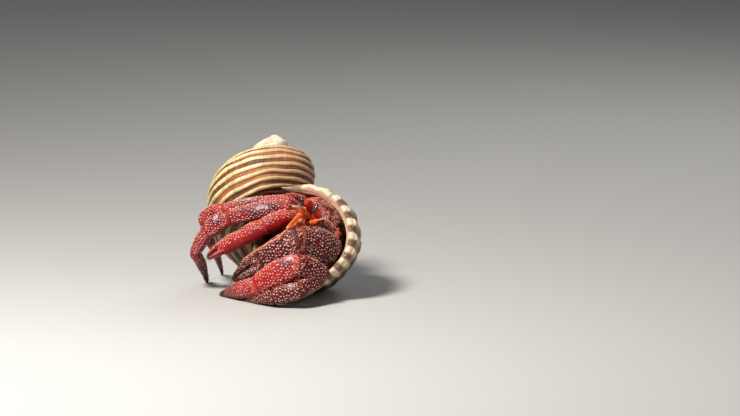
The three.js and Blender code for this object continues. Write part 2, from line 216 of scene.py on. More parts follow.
def smooth_path(knots, count):
    """Points on a Catmull-Rom curve through the knots."""
    knots = np.array(knots)
    held = np.concatenate([2 * knots[:1] - knots[1:2], knots, 2 * knots[-1:] - knots[-2:-1]])
    share = np.linspace(0, len(knots) - 1, count)
    k = np.minimum(share.astype(int), len(knots) - 2)
    t = (share - k)[:, None]
    a, b, c, d = (held[k + i] for i in range(4))
    return b + 0.5 * t * (c - a + t * (2 * a - 5 * b + 4 * c - d + t * (3 * b - a - 3 * c + d)))


def rod_points(knots, radii, sides, flatness=1.0):
    """Rings square to a smooth path, one for each radius. The flatness is their width over their
    height."""
    path = smooth_path(knots, len(radii))
    along = unit(np.gradient(path, axis=0))
    side = unit(np.cross(along, UP))
    above = np.cross(side, along)
    turn = ring_angles(sides)
    wide = flatness * np.cos(turn)[None, :, None] * side[:, None]
    return path[:, None] + radii[:, None, None] * (wide + np.sin(turn)[None, :, None] * above[:, None])


def ball_points(centre, axes, radii, rows, sides):
    """Rings round an ellipsoid, from one end of its first axis to the other."""
    a = np.linspace(-np.pi / 2, np.pi / 2, rows)[:, None, None]
    b = ring_angles(sides)[None, :, None]
    ahead, left, high = axes
    return centre + radii[0] * np.sin(a) * ahead + np.cos(a) * (
        radii[1] * np.cos(b) * left + radii[2] * np.sin(b) * high)


BEAD_SIDES = 7
BEAD_ROWS = np.array([
    # out from the middle, up from the plate, share of the bead's colour
    [1.0, -0.3, 0.0], [0.88, 0.2, 0.3], [0.52, 0.52, 0.9], [0.0, 0.64, 1.0],
])
BEAD_LENGTH = 1.35              # over its width
BEAD_LEAN = 0.35                # forward of its root, over its height


def beads(points, normals, ahead, radii, roots, footprints):
    """Low tubercles: oval domes that lean forward. Each is a patch at its root's place on the map."""
    turn = ring_angles(BEAD_SIDES)
    side = unit(np.cross(ahead, normals))
    front = np.cross(normals, side)
    ring = (np.cos(turn)[None, :, None] * side[:, None]
            + BEAD_LENGTH * np.sin(turn)[None, :, None] * front[:, None])
    out, high, rise = BEAD_ROWS.T
    grid = points[:, None, None] + radii[:, None, None, None] * (
        out[None, :, None, None] * ring[:, None]
        + high[None, :, None, None] * (normals + BEAD_LEAN * front)[:, None, None])
    spread = np.stack([np.cos(turn), np.sin(turn)], -1)
    flat = roots[:, None, None] + footprints[:, None, None] * out[None, :, None, None] * spread
    return small_shapes(grid, flat, rise=rise[None, :, None])


BRISTLE_ROWS = np.array([[0.0, 1.0], [0.35, 0.85], [0.7, 0.55], [1.0, 0.12]])   # along, thickness
BRISTLE_SIDES = 4
BRISTLE_AHEAD, BRISTLE_DOWN = 0.5, 0.45    # how far its bend takes it, over its length
BRISTLE_ROOT = 0.1              # how deep its root is
BRISTLE_SIZES = (0.6, 1.3)      # over the length asked for
BRISTLE_PATCH = 0.004           # how wide its patch on the map is


def bristles(points, normals, ahead, lengths, radius, roots):
    """Stiff tapering hairs that lean forward and curve down towards the plate."""
    turn = ring_angles(BRISTLE_SIDES)
    side = unit(np.cross(ahead, normals))
    front = np.cross(normals, side)
    along, thick = BRISTLE_ROWS.T
    forward = (along + BRISTLE_AHEAD * along ** 2)[None, :, None] * front[:, None]
    rising = (along - BRISTLE_DOWN * along ** 2)[None, :, None] * normals[:, None]
    root = points[:, None] - BRISTLE_ROOT * normals[:, None]
    line = root + lengths[:, None, None] * (forward + rising)
    ring = np.cos(turn)[None, :, None] * side[:, None] + np.sin(turn)[None, :, None] * front[:, None]
    grid = line[:, :, None] + radius * thick[None, :, None, None] * ring[:, None]
    spread = np.stack([np.cos(turn), np.sin(turn)], -1) * BRISTLE_PATCH
    flat = roots[:, None, None] + thick[None, :, None, None] * spread
    return small_shapes(grid, flat, bristle=1.0)


# ---------------------------------------------------------------- finishes


def colour(value):
    """A colour written as three shares becomes one with full opacity."""
    return (*value, 1.0) if isinstance(value, tuple) and len(value) == 3 else value


class Nodes:
    """A short way to wire one material. Sockets and plain values can stand for each other."""

    def __init__(self, name):
        self.material = bpy.data.materials.new(name)
        self.material.use_nodes = True
        self.tree = self.material.node_tree
        self.shader = self.tree.nodes["Principled BSDF"]
        self.place = self.add("ShaderNodeTexCoord").outputs["Object"]

    def put(self, socket, value):
        """Links or sets one input."""
        if isinstance(value, bpy.types.NodeSocket):
            self.tree.links.new(value, socket)
        else:
            socket.default_value = value

    def add(self, kind, inputs=None, **settings):
        """A new node with its settings and inputs."""
        node = self.tree.nodes.new(kind)
        for name, value in settings.items():
            setattr(node, name, value)
        for name, value in (inputs or {}).items():
            self.put(node.inputs[name], value)
        return node

    def paint(self, name):
        """One of the mesh's paints."""
        return self.add("ShaderNodeAttribute", attribute_name=name).outputs["Fac"]

    def math(self, operation, a, b=0.0):
        """One step of arithmetic. The three after it are its commonest."""
        return self.add("ShaderNodeMath", {0: a, 1: b}, operation=operation).outputs[0]

    def plus(self, a, b):
        return self.math("ADD", a, b)

    def minus(self, a, b):
        return self.math("SUBTRACT", a, b)

    def times(self, a, b):
        return self.math("MULTIPLY", a, b)

    def jittered(self, value, noise, by):
        """The value moved up and down by a noise about its middle."""
        return self.plus(value, self.times(self.minus(noise, 0.5), by))

    def some(self, noise, low, high, most):
        """A share that follows the blotches of a noise, up to the most."""
        return self.times(self.between(noise, low, high), most)

    def noise(self, per_mm, detail):
        """Cloudy noise with so many blotches to a millimetre."""
        inputs = {"Vector": self.place, "Scale": per_mm / MM, "Detail": detail}
        return self.add("ShaderNodeTexNoise", inputs).outputs["Fac"]

    def streaks(self, a, a_scale, b, b_scale, detail):
        """Noise over two paints, stretched along the one with the smaller scale."""
        sides = {"X": self.times(a, a_scale), "Y": self.times(b, b_scale)}
        spot = self.add("ShaderNodeCombineXYZ", sides)
        inputs = {"Vector": spot.outputs["Vector"], "Scale": 1.0, "Detail": detail}
        return self.add("ShaderNodeTexNoise", inputs).outputs["Fac"]

    def between(self, value, low, high, to_low=0.0, to_high=1.0):
        """The value, eased from the range low to high into another range, and held past its ends."""
        inputs = {"Value": value, "From Min": low, "From Max": high, "To Min": to_low, "To Max": to_high}
        return self.add("ShaderNodeMapRange", inputs, interpolation_type="SMOOTHSTEP").outputs["Result"]

    def mix(self, share, a, b):
        """The colour a, covered with b by the share."""
        node = self.add("ShaderNodeMix", data_type="RGBA")
        self.put(node.inputs["Factor"], share)
        self.put(node.inputs["A"], colour(a))
        self.put(node.inputs["B"], colour(b))
        return node.outputs["Result"]

    def cells(self, per_mm):
        """How far each place is from the middle of its cell, with so many cells to a millimetre."""
        inputs = {"Vector": self.place, "Scale": per_mm / MM}
        return self.add("ShaderNodeTexVoronoi", inputs).outputs["Distance"]

    def bump(self, height, distance, under=None):
        """Small relief, so many millimetres high, over another where one is under it."""
        inputs = {"Height": height, "Distance": distance * MM, "Strength": 1.0}
        if under:
            inputs["Normal"] = under
        return self.add("ShaderNodeBump", inputs).outputs["Normal"]

    def finish(self, base, roughness, normal=None, **constants):
        """Wires the shader, sets its constants and hands over the material."""
        self.put(self.shader.inputs["Base Color"], base)
        self.put(self.shader.inputs["Roughness"], roughness)
        if normal:
            self.put(self.shader.inputs["Normal"], normal)
        for name, value in constants.items():
            self.shader.inputs[name.replace("_", " ")].default_value = value
        return self.material


# The shell's colours, the darker of each pair first.
GROOVE_TONES = (0.085, 0.024, 0.01), (0.33, 0.095, 0.03)
GROOVE_WORN = (0.45, 0.24, 0.1)
RIB_OLIVE, RIB_CREAM, RIB_PALE = (0.5, 0.47, 0.2), (0.74, 0.56, 0.3), (0.8, 0.66, 0.4)
RIB_RUST = (0.4, 0.2, 0.08)
TAN_TONES = (0.33, 0.16, 0.08), (0.66, 0.44, 0.27)
CRACK_BROWN = (0.12, 0.05, 0.02)
CHALK_TONES = (0.62, 0.44, 0.3), (0.84, 0.74, 0.6)
# painted shade with some dirt, for the shell low down and towards its front
SHADE_AND_DIRT_TONES = (0.03, 0.014, 0.006), (0.13, 0.075, 0.035)
LIP_TONES = (0.68, 0.48, 0.29), (0.87, 0.75, 0.56)
LIP_RUST = (0.42, 0.24, 0.12)
STAIN_TONES = (0.045, 0.013, 0.007), (0.2, 0.08, 0.035)
# painted shade inside the mouth's bowl
BOWL_SHADE_TONES = (0.1, 0.04, 0.02), (0.34, 0.2, 0.12)


def shell_finish():
    """Worn shell: cream and greenish cords over orange-brown grooves, streaked along the growth
    lines, tan on its left side and bare at the apex, with a cream lip blotched with brown. Painted shade,
    with some dirt, darkens it low down and towards the front, and painted shade darkens the mouth's bowl."""
    n = Nodes("turban_shell")
    turn, section = n.paint("turn"), n.paint("section")
    cloud, fine = n.noise(0.11, 4.0), n.noise(1.1, 5.0)
    growth = n.streaks(section, 3.0, turn, 170.0, 4.0)
    cord_tone = n.streaks(section, 24.0, turn, 5.0, 2.0)
    place = n.add("ShaderNodeSeparateXYZ", {"Vector": n.place}).outputs

    # the grooves and the cords over them
    groove = n.mix(n.between(cord_tone, 0.35, 0.62), *GROOVE_TONES)
    groove = n.mix(n.some(growth, 0.5, 0.7, 0.3), groove, GROOVE_WORN)
    rib = n.mix(n.between(cloud, 0.4, 0.62), RIB_CREAM, RIB_OLIVE)
    rib = n.mix(n.some(growth, 0.48, 0.68, 0.5), rib, RIB_PALE)
    rib = n.mix(n.some(n.noise(0.45, 4.0), 0.5, 0.68, 0.55), rib, RIB_RUST)
    left = n.some(n.plus(place["X"], n.times(cloud, 20 * MM)), -3 * MM, 19 * MM, 0.8)
    rib = n.mix(left, rib, n.mix(growth, *TAN_TONES))
    crest = n.jittered(n.paint("crest"), fine, 0.28)
    base = n.mix(n.between(crest, 0.42, 0.7), groove, rib)

    # cracks, the bare apex, and painted shade with some dirt, darker low down and towards the front
    cracks = n.streaks(section, 1.3, turn, 11.0, 2.0)
    crack = n.between(n.math("ABSOLUTE", n.minus(cracks, 0.56)), 0.0, 0.004, 1.0, 0.0)
    base = n.mix(n.times(crack, 0.75), base, CRACK_BROWN)
    base = n.mix(n.paint("bare"), base, n.mix(n.between(n.noise(0.4, 4.0), 0.35, 0.6), *CHALK_TONES))
    low = n.between(n.plus(place["Z"], n.times(cloud, 12 * MM)), 12 * MM, 38 * MM, 1.0, 0.0)
    shade_and_dirt = n.times(low, n.between(place["Y"], -4 * MM, 14 * MM, 0.93, 0.5))
    base = n.mix(shade_and_dirt, base, n.mix(fine, *SHADE_AND_DIRT_TONES))

    # the lip, its blotches, and painted shade in the mouth's bowl
    margin = n.mix(n.between(growth, 0.35, 0.6), *LIP_TONES)
    margin = n.mix(n.some(n.noise(0.5, 4.0), 0.5, 0.7, 0.5), margin, LIP_RUST)
    base = n.mix(n.paint("lip"), base, margin)
    patchy = n.noise(0.6, 2.0)
    stain = n.times(n.paint("stain"), n.between(patchy, 0.3, 0.5, 0.65, 1.0))
    base = n.mix(stain, base, n.mix(n.between(patchy, 0.4, 0.62), *STAIN_TONES))
    base = n.mix(n.paint("bowl"), base, n.mix(fine, *BOWL_SHADE_TONES))

    normal = n.bump(n.times(growth, n.between(n.paint("bare"), 0.0, 1.0, 1.0, 0.25)), 0.2)
    normal = n.bump(n.plus(fine, n.times(n.noise(4.0, 3.0), 0.3)), 0.2, normal)
    return n.finish(base, n.between(fine, 0.3, 0.7, 0.42, 0.62), normal)


# painted sky reflection in purple, and its painted grey highlight
REFLECTED_PURPLE, HIGHLIGHT_GREY = (0.06, 0.008, 0.024), (0.66, 0.56, 0.58)
FLESH_TONES = (0.5, 0.04, 0.01), (0.8, 0.17, 0.04)
GRAIN_RED = (0.75, 0.07, 0.035)
HORN_BROWN = (0.025, 0.01, 0.008)
BRISTLE_BROWN, BRISTLE_TAN = (0.16, 0.07, 0.025), (0.42, 0.24, 0.09)
# the brown of painted shade on joints and eyestalks
SHADE_BROWN = (0.06, 0.012, 0.008)
PALE_BAND = (0.86, 0.62, 0.42)
CORNEA_TONES = (0.006, 0.006, 0.006), (0.05, 0.055, 0.04)


def plate_finish(name, bright, dark, bead, roughness):
    """Horny plate: bright red clouded with a dark red, and darkened towards it by painted shade, with
    purple painted sky reflections that hold a painted grey highlight, orange where it is thin, with fine
    granules between its pale beads, brown tips and bristles."""
    n = Nodes(name)
    cloud, fine = n.noise(0.28, 3.0), n.noise(1.9, 4.0)
    # painted shade: this paint darkens the bright red towards the dark tone
    gloom = n.jittered(n.paint("gloom"), cloud, 1.3)
    base = n.mix(n.between(gloom, 0.0, 1.0), bright, dark)
    base = n.mix(n.some(fine, 0.52, 0.68, 0.55), base, dark)

    # painted sky reflections: purple patches with a painted grey highlight in their middle
    bruise = n.paint("bruise")
    base = n.mix(n.between(bruise, 0.1, 0.5, 0.0, 0.9), base, REFLECTED_PURPLE)
    base = n.mix(n.some(n.plus(bruise, n.minus(fine, 0.5)), 0.78, 1.02, 0.75), base, HIGHLIGHT_GREY)

    flesh = n.mix(n.between(fine, 0.35, 0.6), *FLESH_TONES)
    base = n.mix(n.paint("flesh"), base, flesh)
    granules = n.between(n.cells(1.45), 0.14, 0.42, 1.0, 0.0)
    grain = n.times(granules, n.minus(1.0, n.paint("plain")))
    base = n.mix(n.times(grain, 0.42), base, n.mix(0.65, bead, GRAIN_RED))
    base = n.mix(n.paint("rise"), base, bead)
    base = n.mix(n.paint("horn"), base, HORN_BROWN)
    base = n.mix(n.paint("bristle"), base, BRISTLE_BROWN)
    normal = n.bump(n.plus(n.plus(fine, n.times(n.noise(6.0, 3.0), 0.5)), grain), 0.14)
    dull = n.between(fine, 0.3, 0.7, roughness, roughness + 0.2)
    return n.finish(base, n.minus(dull, n.times(bruise, 0.14)), normal, Specular_IOR_Level=0.3)


def soft_finish(name, low, high, roughness, per_mm=0.9, relief=0.1):
    """Soft or thin parts: two tones in clouds, with paler "rise" and a brown painted shade."""
    n = Nodes(name)
    base = n.mix(n.between(n.noise(per_mm, 4.0), 0.36, 0.62), low, high)
    base = n.mix(n.paint("gloom"), base, SHADE_BROWN)
    base = n.mix(n.paint("rise"), base, PALE_BAND)
    base = n.mix(n.paint("bristle"), base, BRISTLE_TAN)
    return n.finish(base, roughness, n.bump(n.noise(3.2, 4.0), relief))


def eye_finish():
    """A black cornea of fine facets, with a faint grey-green bloom."""
    n = Nodes("cornea")
    base = n.mix(n.between(n.noise(0.7, 3.0), 0.4, 0.65), *CORNEA_TONES)
    return n.finish(base, 0.12, n.bump(n.cells(9.0), 0.01), Coat_Weight=0.6, Coat_Roughness=0.06)


# ---------------------------------------------------------------- shell

# The whorl is a tube that winds down a cone. A turn counts whorls from the lip to the apex, and the
# angle goes round the tube's section: 0 outwards, 90 towards the apex.
APEX = np.array([-1.3, 26.6, 53.6])
TILT, LEAN = 40.0, 2.0          # the axis tilts back, and leans to the crab's left
LIP_ANGLE = -23.2               # direction of the lip about the axis
REACH = 36.0                    # axis to the outer wall at the lip
HEIGHT = 49.5                   # apex to the middle of the lip, along the axis
TUBE_SHARE = 0.589              # the tube's radius over the reach
SHRINK, SHRINK_MORE = 0.689, 0.104    # how fast the reach shrinks with the turn, and its square
SPIRE_TIGHTEN, SPIRE_FROM = 0.12, 1.2    # it shrinks faster still in the spire
HEIGHT_POWER = 1.245            # the cone's height goes as this power of its reach
UPPER_STRETCH, LOWER_STRETCH = 1.114, 0.895    # the section's upper and lower halves over its radius
SHOULDER, SHOULDER_TURN, SHOULDER_OVER = 0.088, 0.9, 0.5    # a bulge of the last whorl only
CORE = 0.02                     # the radius left round the axis, over the reach
# The spire is worn to a blunt cone, out to its width and on the upper side of its whorls.
SPIRE_TOP, SPIRE_SLOPE, SPIRE_ROUND = 2.96, 1.04, 1.5
SPIRE_WIDTH, SPIRE_EASE = 10.0, 2.5
SPIRE_TURN, SPIRE_TURN_EASE = 0.85, 0.35
SPIRE_ANGLE, SPIRE_ANGLE_EASE = -35.0, 60.0
SPIRE_STEP = 0.45               # each whorl of it stands proud of the one before
SPIRE_SINK, SPIRE_SINK_TURNS = 0.8, 0.3    # but the last one ends under it
# A hollow in the wall behind the lip.
TUCK, TUCK_TURN, TUCK_LENGTH, TUCK_ANGLE, TUCK_SPREAD = 0.14, 0.08, 0.07, -30.0, 32.0
# Past this angle the section leaves its oval and climbs inwards to meet the whorl above.
FILL_FROM, FILL_SLOPE, FILL_CURVE, FILL_REACH = 75.0, 0.3, 1.0, 0.28
TURNS = 8 / 3

# The lip is a ring round the mouth. Its two ways are half its width and half its height.
LIP_CENTRE = np.array([10.0, -8.5, 22.0])
LIP_WIDE = 21.6 * direction(-22.5, 3.9)
LIP_HIGH = 21.9 * direction(90.0, 56.7)
LIP_FLARE = 0.16                # the wall opens into the ring over this share of a turn
EASE_FROM, EASE_OVER = 102.0, 26.0    # but not round its inner side, past these angles
DRAW_IN, DRAW_ANGLE, DRAW_SPREAD = 0.09, -55.0, 35.0    # the ring is drawn in here
LIP_THICKNESS, LIP_THICKEN, THICK_ANGLE = 0.185, 0.04, -20.0    # over the ring's size
# The lip's start thins and is drawn in, and rides up over the whorl before.
START_STRETCH = (91.0, 13.0, 116.0, 20.0)
START_THIN, START_IN, START_RIDE = 0.4, 0.13, 0.45
LIP_OUTER = 0.972               # the lip's outer margin, over the size of its ring
MOUTH_DEPTH, MOUTH_FRONT = 17.5, 12.0
BOWL_CURVE = 3                  # the power that rounds the bowl
BOWL_MARGIN = 0.015             # how far past the bowl's wall the whorl before is pressed
PRESS_LEAST = 0.05              # nearer the middle than this, over the ring, it is pressed less far
INWARD = unit(np.cross(LIP_HIGH, LIP_WIDE))

CORD_STEP = 16.2                # degrees of the section from one spiral cord to the next
CORD_FIRST = 65.4
CORD_MIDDLE, CORD_SWING = 0.47, 0.58    # the wave that is eased into broad cords
CORD_STRETCH = (-118.0, 20.0, 72.0, 8.0)    # the angles between which the section has cords
CORD_RELIEF = 1.5
CORD_SETTLE, CORD_LEAST = 0.12, 0.3    # they are lower where the wall runs into the lip
CORD_WANDER, WANDER_LENGTH, WANDER_TURN = 1.3, 11.0, 0.1    # degrees that a cord strays
THREAD_RELIEF, THREAD_WIDTH = 0.18, 42.0    # a fine thread lies in each groove
GROWTH_RELIEF, GROWTH_LINES = 0.07, 510.0
GROWTH_BEND, GROWTH_BEND_LENGTH, GROWTH_PATCH = 3.0, 14.0, 20.0    # they bend, and come and go
WALL_LUMP, WALL_LUMP_LENGTH = 0.22, 9.0
WALL_GRAIN, WALL_GRAIN_LENGTH = 0.1, 2.5
WORN_TURN, WORN_OVER = 2.15, 0.9    # towards the apex the relief is worn away
NODULE, NODULE_POWER = 0.012, 0.7    # how far the cords' ends stand out of the lip, over its size


def shell_to_world(x, y, z):
    """From the shell's own axes, its axis vertical and its apex at the origin."""
    ct, st = np.cos(TILT * DEG), np.sin(TILT * DEG)
    cl, sl = np.cos(LEAN * DEG), np.sin(LEAN * DEG)
    back, up = y * ct + z * st, z * ct - y * st
    return np.stack([x * cl + up * sl, back, up * cl - x * sl], -1) + APEX


def cord_crest(angle):
    """1 on the broad crests of the spiral cords and 0 in the grooves between."""
    across = (CORD_FIRST - angle) / CORD_STEP
    wave = CORD_MIDDLE + CORD_SWING * np.cos(2 * np.pi * across)
    return smooth(wave) * within(angle, *CORD_STRETCH)


def whorl(turn, angle, proud):
    """The whorl's wall: the reach shrinks with the turn, the section is an oval with a shoulder,
    and its upper side climbs to meet the whorl above. The spire is worn to a cone. "proud" lifts the
    wall."""
    spire = SPIRE_TIGHTEN * np.maximum(turn - SPIRE_FROM, 0) ** 2
    reach = REACH * np.exp(-SHRINK * turn - SHRINK_MORE * turn ** 2 - spire)
    drop = HEIGHT * (reach / REACH) ** HEIGHT_POWER
    s = np.minimum(angle, FILL_FROM) * DEG
    upper = np.sin(s) > 0
    shoulder = SHOULDER * smooth((SHOULDER_TURN - turn) / SHOULDER_OVER)
    bulge = np.where(upper & (np.cos(s) > 0), 1 + shoulder * np.sin(2 * s) ** 2, 1)
    tuck = TUCK * bell((turn - TUCK_TURN) / TUCK_LENGTH) * bell((angle - TUCK_ANGLE) / TUCK_SPREAD)
    radius = (TUBE_SHARE * reach + proud * reach / REACH) * bulge * (1 - tuck)
    core = CORE * reach
    out = np.maximum(reach * (1 - TUBE_SHARE) + radius * np.cos(s), core)
    z = -drop + radius * np.where(upper, UPPER_STRETCH, LOWER_STRETCH) * np.sin(s)
    inwards = np.where(angle > FILL_FROM, (out - core) * (angle - FILL_FROM) / (180 - FILL_FROM), 0)
    climb = np.minimum(inwards, FILL_REACH * reach)
    z = z + FILL_SLOPE * climb + FILL_CURVE * climb ** 2 / reach
    far = out - inwards
    step = SPIRE_STEP * (TURNS - turn) + SPIRE_SINK * smooth((turn - TURNS) / SPIRE_SINK_TURNS + 1)
    cone = SPIRE_TOP - SPIRE_SLOPE * np.hypot(far, SPIRE_ROUND) - step + proud * reach / REACH
    worn = smooth((SPIRE_WIDTH - far) / SPIRE_EASE) * smooth((turn - SPIRE_TURN) / SPIRE_TURN_EASE)
    z = lerp(z, cone, worn * smooth((angle - SPIRE_ANGLE) / SPIRE_ANGLE_EASE))
    around = (LIP_ANGLE + 360 * turn) * DEG
    return shell_to_world(far * np.cos(around), far * np.sin(around), z)


def lip_start(angle):
    """1 where the lip starts and 0 round the rest of its ring."""
    return within(angle, *START_STRETCH)


def drawn_in(angle):
    """The size of the lip's ring, which is drawn in at its lower outer side and at its start."""
    lower = DRAW_IN * bell(wrapped(angle - DRAW_ANGLE) / DRAW_SPREAD)
    return 1 - lower - START_IN * lip_start(angle)


def lip(angle, share, depth):
    """A point by the lip: round its ring by the angle, out by the share, and back by the depth."""
    scale = share * drawn_in(angle)
    across = (scale * np.cos(angle * DEG))[..., None] * LIP_WIDE
    along = (scale * np.sin(angle * DEG))[..., None] * LIP_HIGH
    return LIP_CENTRE + across + along + np.asarray(depth)[..., None] * INWARD


def mouth_share(angle):
    """How much of the ring the mouth leaves open: less where the lip is thick."""
    thick = LIP_THICKNESS + LIP_THICKEN * np.cos((angle - THICK_ANGLE) * DEG)
    return 1 - thick * (1 - START_THIN * lip_start(angle))


def bowl_share(depth):
    """How wide the mouth's bowl is at a depth, over its rim: a rounded cup."""
    return np.sqrt(np.clip(1 - (depth / MOUTH_DEPTH) ** BOWL_CURVE, 0, 1))


def part_along(offset, way, other):
    """How many of one way an offset holds, when the rest of it is the other way and inwards. It is
    read off square to both of those."""
    square = np.cross(other, INWARD)
    return offset @ square / (way @ square)


def pressed(points):
    """Points inside the mouth's bowl, moved straight out to its wall and a little past it."""
    offset = points - LIP_CENTRE
    depth = offset @ INWARD
    wide = part_along(offset, LIP_WIDE, LIP_HIGH)
    high = part_along(offset, LIP_HIGH, LIP_WIDE)
    share = np.hypot(wide, high)
    angle = np.arctan2(high, wide) / DEG
    bowl = bowl_share(np.maximum(depth, 0))
    open_share = mouth_share(angle) * drawn_in(angle) * bowl + BOWL_MARGIN
    inside = (share < open_share) & (depth > -MOUTH_FRONT) & (depth < MOUTH_DEPTH)
    grow = np.where(inside, open_share / np.maximum(share, PRESS_LEAST), 1)[..., None]
    flat = depth[..., None] * INWARD
    return LIP_CENTRE + flat + (offset - flat) * grow


LIP_ROWS, LIP_ROW_POWER = 16, 1.15    # rows over its face, closer together by its margin
BOWL_ROWS, BOWL_ROW_POWER = 26, 1.8
LIP_END = 109.0                 # where its start meets the whorl before
LIP_BLUNT, LIP_CLOSE = 99.0, 0.55    # its start is rounded off from an angle, to a share of its width
LIP_PROUD, PROUD_REACH, PROUD_POWER = 1.7, 1.12, 0.75    # how far its face swells forward
SCALLOP, SCALLOP_REACH = 0.55, 1.6    # the waves that the cords' ends leave on its face
LIP_BACK, BACK_POWER = 0.9, 4   # how far its inner edge lies behind its margin
RIDE_OVER = 5.0                 # degrees past its end in which its ride over the whorl stops
SPOT_STRETCH = (-72.0, 8.0, 52.0, 8.0)    # the part of the lip with brown spots
SPOT_CONTRAST, SPOT_CUT = 2.0, 0.4
SPOT_INNER, SPOT_OVER = 0.74, 0.22    # they reach this far in over its face
STAINED_STRETCH, STAINED_MOST = (-110.0, 14.0, -66.0, 14.0), 0.75    # its lower end is all brown


def lip_and_bowl(angles):
    """Rows that round the lip from its outer margin to the mouth and on down to the bowl's floor,
    with the share of the way round the lip at each and its stains."""
    part = np.linspace(0, 1, LIP_ROWS)[:, None]
    crest = 0.5 + 0.5 * np.cos(2 * np.pi * (CORD_FIRST - angles) / CORD_STEP)[None]
    open_share = mouth_share(angles)[None]
    blunt = np.sqrt(1 - np.clip((angles - LIP_BLUNT) / (LIP_END - LIP_BLUNT), 0, 1) ** 2)[None]
    nodule = NODULE * crest * (1 - part) ** NODULE_POWER
    share = lerp(LIP_OUTER, open_share, part ** LIP_ROW_POWER) + nodule
    share = lerp(lerp(LIP_OUTER, open_share, LIP_CLOSE), share, blunt)

    rounding = np.sin(np.pi * np.clip(part * PROUD_REACH, 0, 1)) ** PROUD_POWER
    swell = LIP_PROUD * rounding * (1 - open_share) / LIP_THICKNESS * blunt
    scallop = SCALLOP * (crest - 0.5) * np.sin(np.pi * np.clip(part * SCALLOP_REACH, 0, 1))
    past_end = smooth((angles - LIP_END) / RIDE_OVER)
    ride = START_RIDE * np.maximum(angles - START_STRETCH[0], 0) * (1 - past_end)
    depth = LIP_BACK * part ** BACK_POWER - swell - scallop - ride
    around = np.broadcast_to(angles[None], share.shape)
    face = lip(around, share, depth)

    sunk = 1 - (1 - np.linspace(0, 1, BOWL_ROWS + 1)[1:, None]) ** BOWL_ROW_POWER
    bowl = bowl_share(lerp(LIP_BACK, MOUTH_DEPTH, sunk))
    around = np.broadcast_to(angles[None], (BOWL_ROWS, len(angles)))
    floor = lip(around, open_share * bowl, lerp(LIP_BACK - ride[None], MOUTH_DEPTH, sunk))

    spots = smooth(SPOT_CONTRAST * (1 - crest) - SPOT_CUT) * within(angles, *SPOT_STRETCH)
    spots = spots * smooth((SPOT_INNER - part) / SPOT_OVER)
    lower = STAINED_MOST * within(angles, *STAINED_STRETCH)[None] * (1 - 0.5 * part)
    return face, floor, part, np.maximum(spots, lower)


# The wall's grid is finest where it shows: in the last whorl, and on the section's outer side.
SPIRE_END, FLARE_START = 1.25, 0.2
WALL_TURNS = np.concatenate([
    np.linspace(TURNS, SPIRE_END, 120),
    np.linspace(SPIRE_END, FLARE_START, 300)[1:],
    np.linspace(FLARE_START, 0.0, 70)[1:],
])
WALL_ANGLES = np.concatenate([
    np.arange(75, -140, -1.4), [-150, -165, 180, 165, 150, 140, 134], np.arange(129, 76, -1.5)])


def wall_points(turn, angle, crest, fade):
    """The wall with its cords, a thread in each groove and growth lines. Its last stretch opens into
    the lip's ring, where the cords end in nodules."""
    place = whorl(turn, angle, 0)
    thread = bell(wrapped(360 * (CORD_FIRST - angle) / CORD_STEP - 180) / THREAD_WIDTH)
    bend = GROWTH_BEND * lumps(place, GROWTH_BEND_LENGTH, 3)
    growth = np.sin(turn * GROWTH_LINES + bend) * lumps(place, GROWTH_PATCH, 4)
    height = CORD_RELIEF * lerp(CORD_LEAST, 1, smooth(turn / CORD_SETTLE))
    relief = height * (crest - 0.5) + THREAD_RELIEF * thread
    uneven = (WALL_LUMP * lumps(place, WALL_LUMP_LENGTH, 1) * fade
              + WALL_GRAIN * lumps(place, WALL_GRAIN_LENGTH, 2))
    wall = whorl(turn, angle, fade * relief + GROWTH_RELIEF * growth + uneven)
    outer = 1 - smooth((np.abs(wrapped(angle)) - EASE_FROM) / EASE_OVER)
    ease = np.clip(1 - turn / LIP_FLARE, 0, 1) ** 2 * outer
    nodule = NODULE * crest * smooth(1 - turn / LIP_FLARE)
    wall += ease[..., None] * (lip(angle, LIP_OUTER + nodule, 0.0) - whorl(0, angle, 0))
    wall[1:-1] = pressed(wall[1:-1])
    return wall


MARGIN_TURN, MARGIN_TO, MARGIN_OUT = 0.035, 112.0, 8.0    # the wall's edge is coloured as the lip
SHOWN_OUT = 6.0                 # degrees past the lip's end in which its colour stops
STAIN_TO, STAIN_OUT = 60.0, 12.0
SEAM_FROM, SEAM_OVER, SEAM_CREST = 74.0, 6.0, 0.6    # the seam between whorls is as pale as this
WORN_CREST = 0.75               # and the worn spire as this, where a cord's crest is 1
BARE_TURN, BARE_OVER = 1.2, 0.7    # the spire is bare from this turn on
BARE_RAGGED, BARE_LENGTH = 0.15, 7.0    # with a ragged edge
LIP_EDGE_SHADE, BOWL_FROM = 0.5, 0.86    # painted shade: the lip's inner edge is half as dark as the bowl
LIP_TURN = -0.06                # the turn that the growth lines reach over the lip


